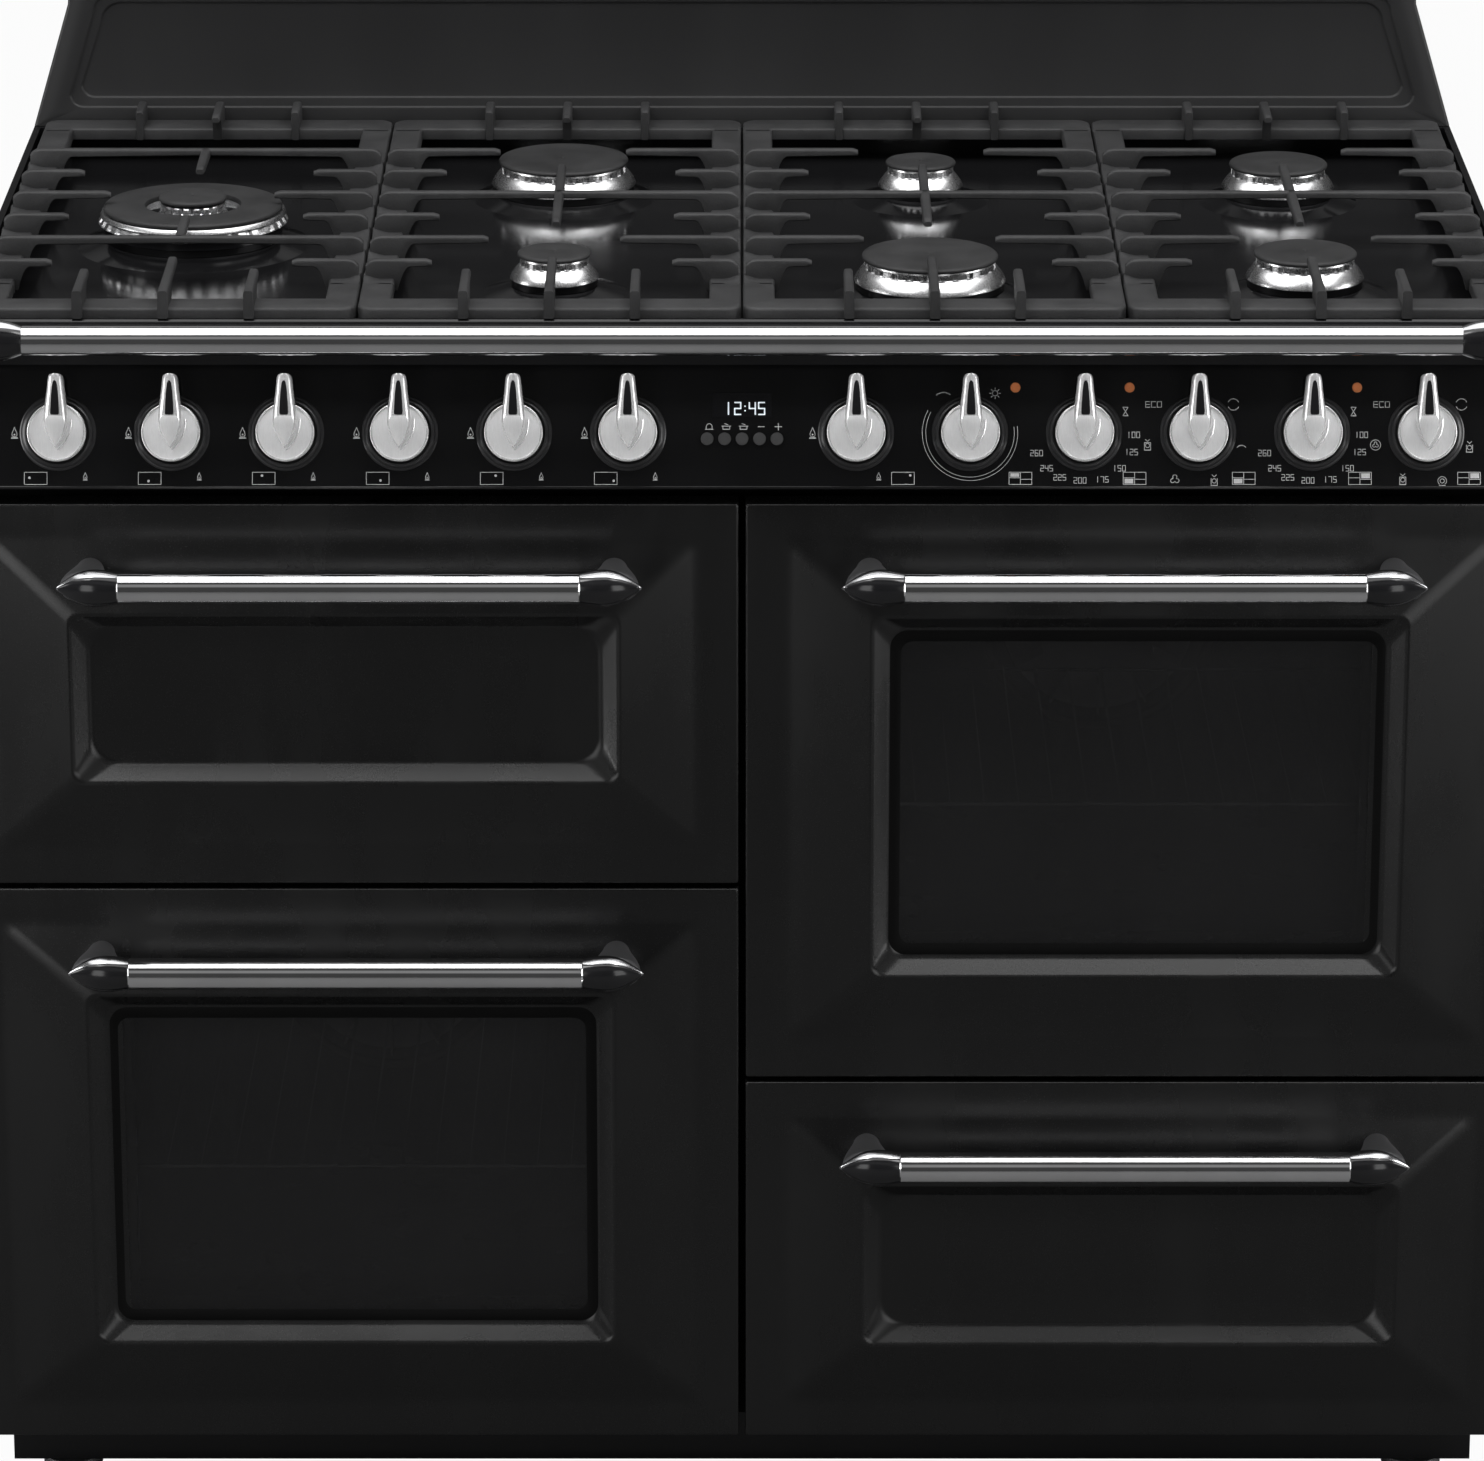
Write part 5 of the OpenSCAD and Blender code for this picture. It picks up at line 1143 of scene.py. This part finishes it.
def splashPanel():
    low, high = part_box("splashback")
    front, back = low[1], high[1]
    edge, soft, step, run = splash["edge"], splash["soft"], splash["ledge"], splash["ledgeRun"]
    behind, tiny = 3 * mm, 0.3 * mm
    # each row: inset of the top and sides, foot's height, y, lower corner radius
    rows = [
        (behind, behind, front + 6 * mm, 2 * mm), (behind, behind, back, 2 * mm),
        (0.6 * mm, 0.0, back, tiny), (0.0, 0.0, back - 0.8 * mm, tiny), (0.0, 0.0, front + edge, tiny),
        (edge * 0.3, 0.0, front + edge * 0.3, tiny), (edge, 0.0, front, tiny),
        (splash["frame"] - soft, splash["foot"] - soft, front, splash["lowRound"] + soft)]
    # two steps down to the middle of the sheet
    ledges = [
        (0.0, soft * 0.4), (soft * 0.3, step - soft * 0.3), (soft, step), (run - soft, step),
        (run, step + soft * 0.4), (run + soft * 0.3, 2 * step - soft * 0.3), (run + soft, 2 * step)]
    rows += [(splash["frame"] + inward, splash["foot"] + inward, front + deep, splash["lowRound"])
             for inward, deep in ledges]
    shape = Shape()
    rings = []
    for inset, foot, y, lowRound in rows:
        topRound = splash["topRound"] if inset < 10 * mm else splash["midRound"]
        rings.append([(x, y, z) for x, z in splashOutline(low, high, inset, foot, topRound, lowRound)])
    shape.loft(rings)
    # the splashback's lighter enamel is painted light from above
    shape.piece("splashback_pressing", "splashbackPaintedLightEnamel", "range", "black_enamel", 50.0, "splashback")


def trimBead(name, start, end, radius):
    # a rolled edge along X
    shape = Shape()
    place = Matrix.Translation(start) @ Matrix.Rotation(math.pi / 2, 4, "Y")
    span = end - start[0]
    tip, turn = radius * 0.6, radius * 0.5
    profile = [(tip, 0), (radius, turn), (radius, span * 0.5), (radius, span - turn), (tip, span)]
    shape.lathe(profile, place, 20)
    shape.piece(name, "enamel", "range", "black_enamel")


def trims():
    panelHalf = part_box("control_panel")[1][0] - 1 * mm
    start = panelPlace @ Vector((-panelHalf, 1.4 * mm, 0.2 * mm))
    trimBead("control_panel_lower_edge", start, panelHalf, 1.3 * mm)
    low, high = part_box("worktop")
    start = Vector((low[0] + 1 * mm, low[1] + 1.5 * mm, low[2] + 1.4 * mm))
    trimBead("fascia_lower_edge", start, high[0] - 1 * mm, 1.4 * mm)


# printed border round the clear part of an oven window: width, height, corner radius, how far out
windowRings = inMetres([
    (354, 247, 6, 0.45), (353.4, 246.4, 6, 0.65), (339, 229, 9, 0.65), (338, 228, 8.6, 0.45)])


def windowBorder(node, body):
    low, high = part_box(node)
    centreX, middleZ = (low[0] + high[0]) / 2, (low[2] + high[2]) / 2 + doorLift
    centreX += math.copysign(door["outward"], centreX)
    shape = Shape()
    shape.loft([[(centreX + x, faceY - out, middleZ + z) for x, z in roundRect(w / 2, h / 2, r)]
                for w, h, r, out in windowRings], True)
    shape.piece(node + "_window_border", "windowPrint", body, "dark_plastic")


splashPanel()
trims()
for node in ("left_oven_door", "right_oven_door"):
    windowBorder(node, node + "_body")
print("splashback, trims and window borders made")


# floor and sky are white to the camera; what the object reflects is a dim studio, brighter overhead
stage = {
    "floorHalf": 6.0, "floorDeep": 0.02, "floorGrey": 0.10, "floorWhite": 0.97,
    "sky": ((0.34, 0.05), (0.50, 0.25), (0.62, 0.25), (0.76, 0.05), (0.90, 0.05), (1.0, 0.8))}


def buildFloor():
    half, floorZ = stage["floorHalf"], cadLow[2]
    shape = Shape()
    outline = [(-half, -half), (half, -half), (half, half), (-half, half)]
    shape.slab(outline, Matrix.Identity(4), floorZ - stage["floorDeep"], floorZ)
    mesh = shape.mesh("floor")
    floor = bpy.data.objects.new("floor", mesh)
    bpy.context.scene.collection.objects.link(floor)
    paint = Finish("pale floor", (stage["floorGrey"],) * 3, 0.8)
    mesh.materials.append(paint.material)
    white = paint.add("ShaderNodeEmission", {}, {})
    surface = paint.shown(stage["floorWhite"], Wire(paint, paint.shader.outputs[0]), white)
    paint.feed(paint.tree.nodes["Material Output"], "Surface", surface)


def buildSky():
    world = bpy.data.worlds.new("studio")
    bpy.context.scene.world = world
    world.use_nodes = True
    sky = Graph(world.node_tree)
    sky.tree.nodes.clear()
    view = sky.add("ShaderNodeTexCoord", {}, {}, "Generated")
    up = sky.add("ShaderNodeSeparateXYZ", {}, {0: view}, "Z")
    dim = sky.add("ShaderNodeBackground", {}, {"Color": sky.ramp(up, *stage["sky"])})
    white = sky.add("ShaderNodeBackground", {}, {"Color": (1, 1, 1, 1)})
    output = sky.tree.nodes.new("ShaderNodeOutputWorld")
    sky.feed(output, "Surface", sky.shown(1.0, dim, white))


def areaLamp(name, place, target, size, power, sizeY=None):
    lamp = bpy.data.lights.new(name, "AREA")
    lamp.shape = "RECTANGLE"
    lamp.size = size
    lamp.size_y = sizeY or size
    lamp.energy = power
    holder = bpy.data.objects.new(name, lamp)
    bpy.context.scene.collection.objects.link(holder)
    holder.location = place
    holder.rotation_euler = (Vector(target) - Vector(place)).to_track_quat("-Z", "Y").to_euler()


def buildLamps():
    areaLamp("overhead softbox", (0.0, -0.3, 2.9), (0, -0.3, 0.8), 5.0, 92, 2.5)
    doorsMiddle = (0, -0.27, 0.45)
    for side, word in ((-1, "left"), (1, "right")):
        areaLamp(word + " fill", (side * 2.1, -2.0, 5.0), (0, -0.1, 0.7), 1.5, 52)
        areaLamp(word + " softbox", (side * 1.75, -3.2, 0.8), doorsMiddle, 1.2, 13, 1.6)
        areaLamp(word + " side", (side * 2.6, -0.6, 0.9), doorsMiddle, 1.0, 34, 1.6)


def buildCamera():
    view = {"place": (0.0, -5.036, 2.172), "down": 18.27, "lens": 171.0}
    camera = bpy.data.cameras.new("camera")
    camera.lens = view["lens"]
    camera.sensor_width = 36.0
    camera.clip_end = 100.0
    holder = bpy.data.objects.new("camera", camera)
    bpy.context.scene.collection.objects.link(holder)
    holder.location = view["place"]
    holder.rotation_euler = (math.radians(90 - view["down"]), 0, 0)
    bpy.context.scene.camera = holder


buildFloor()
buildSky()
buildLamps()
buildCamera()
bpy.context.scene.view_settings.view_transform = "Standard"
print("stage set")
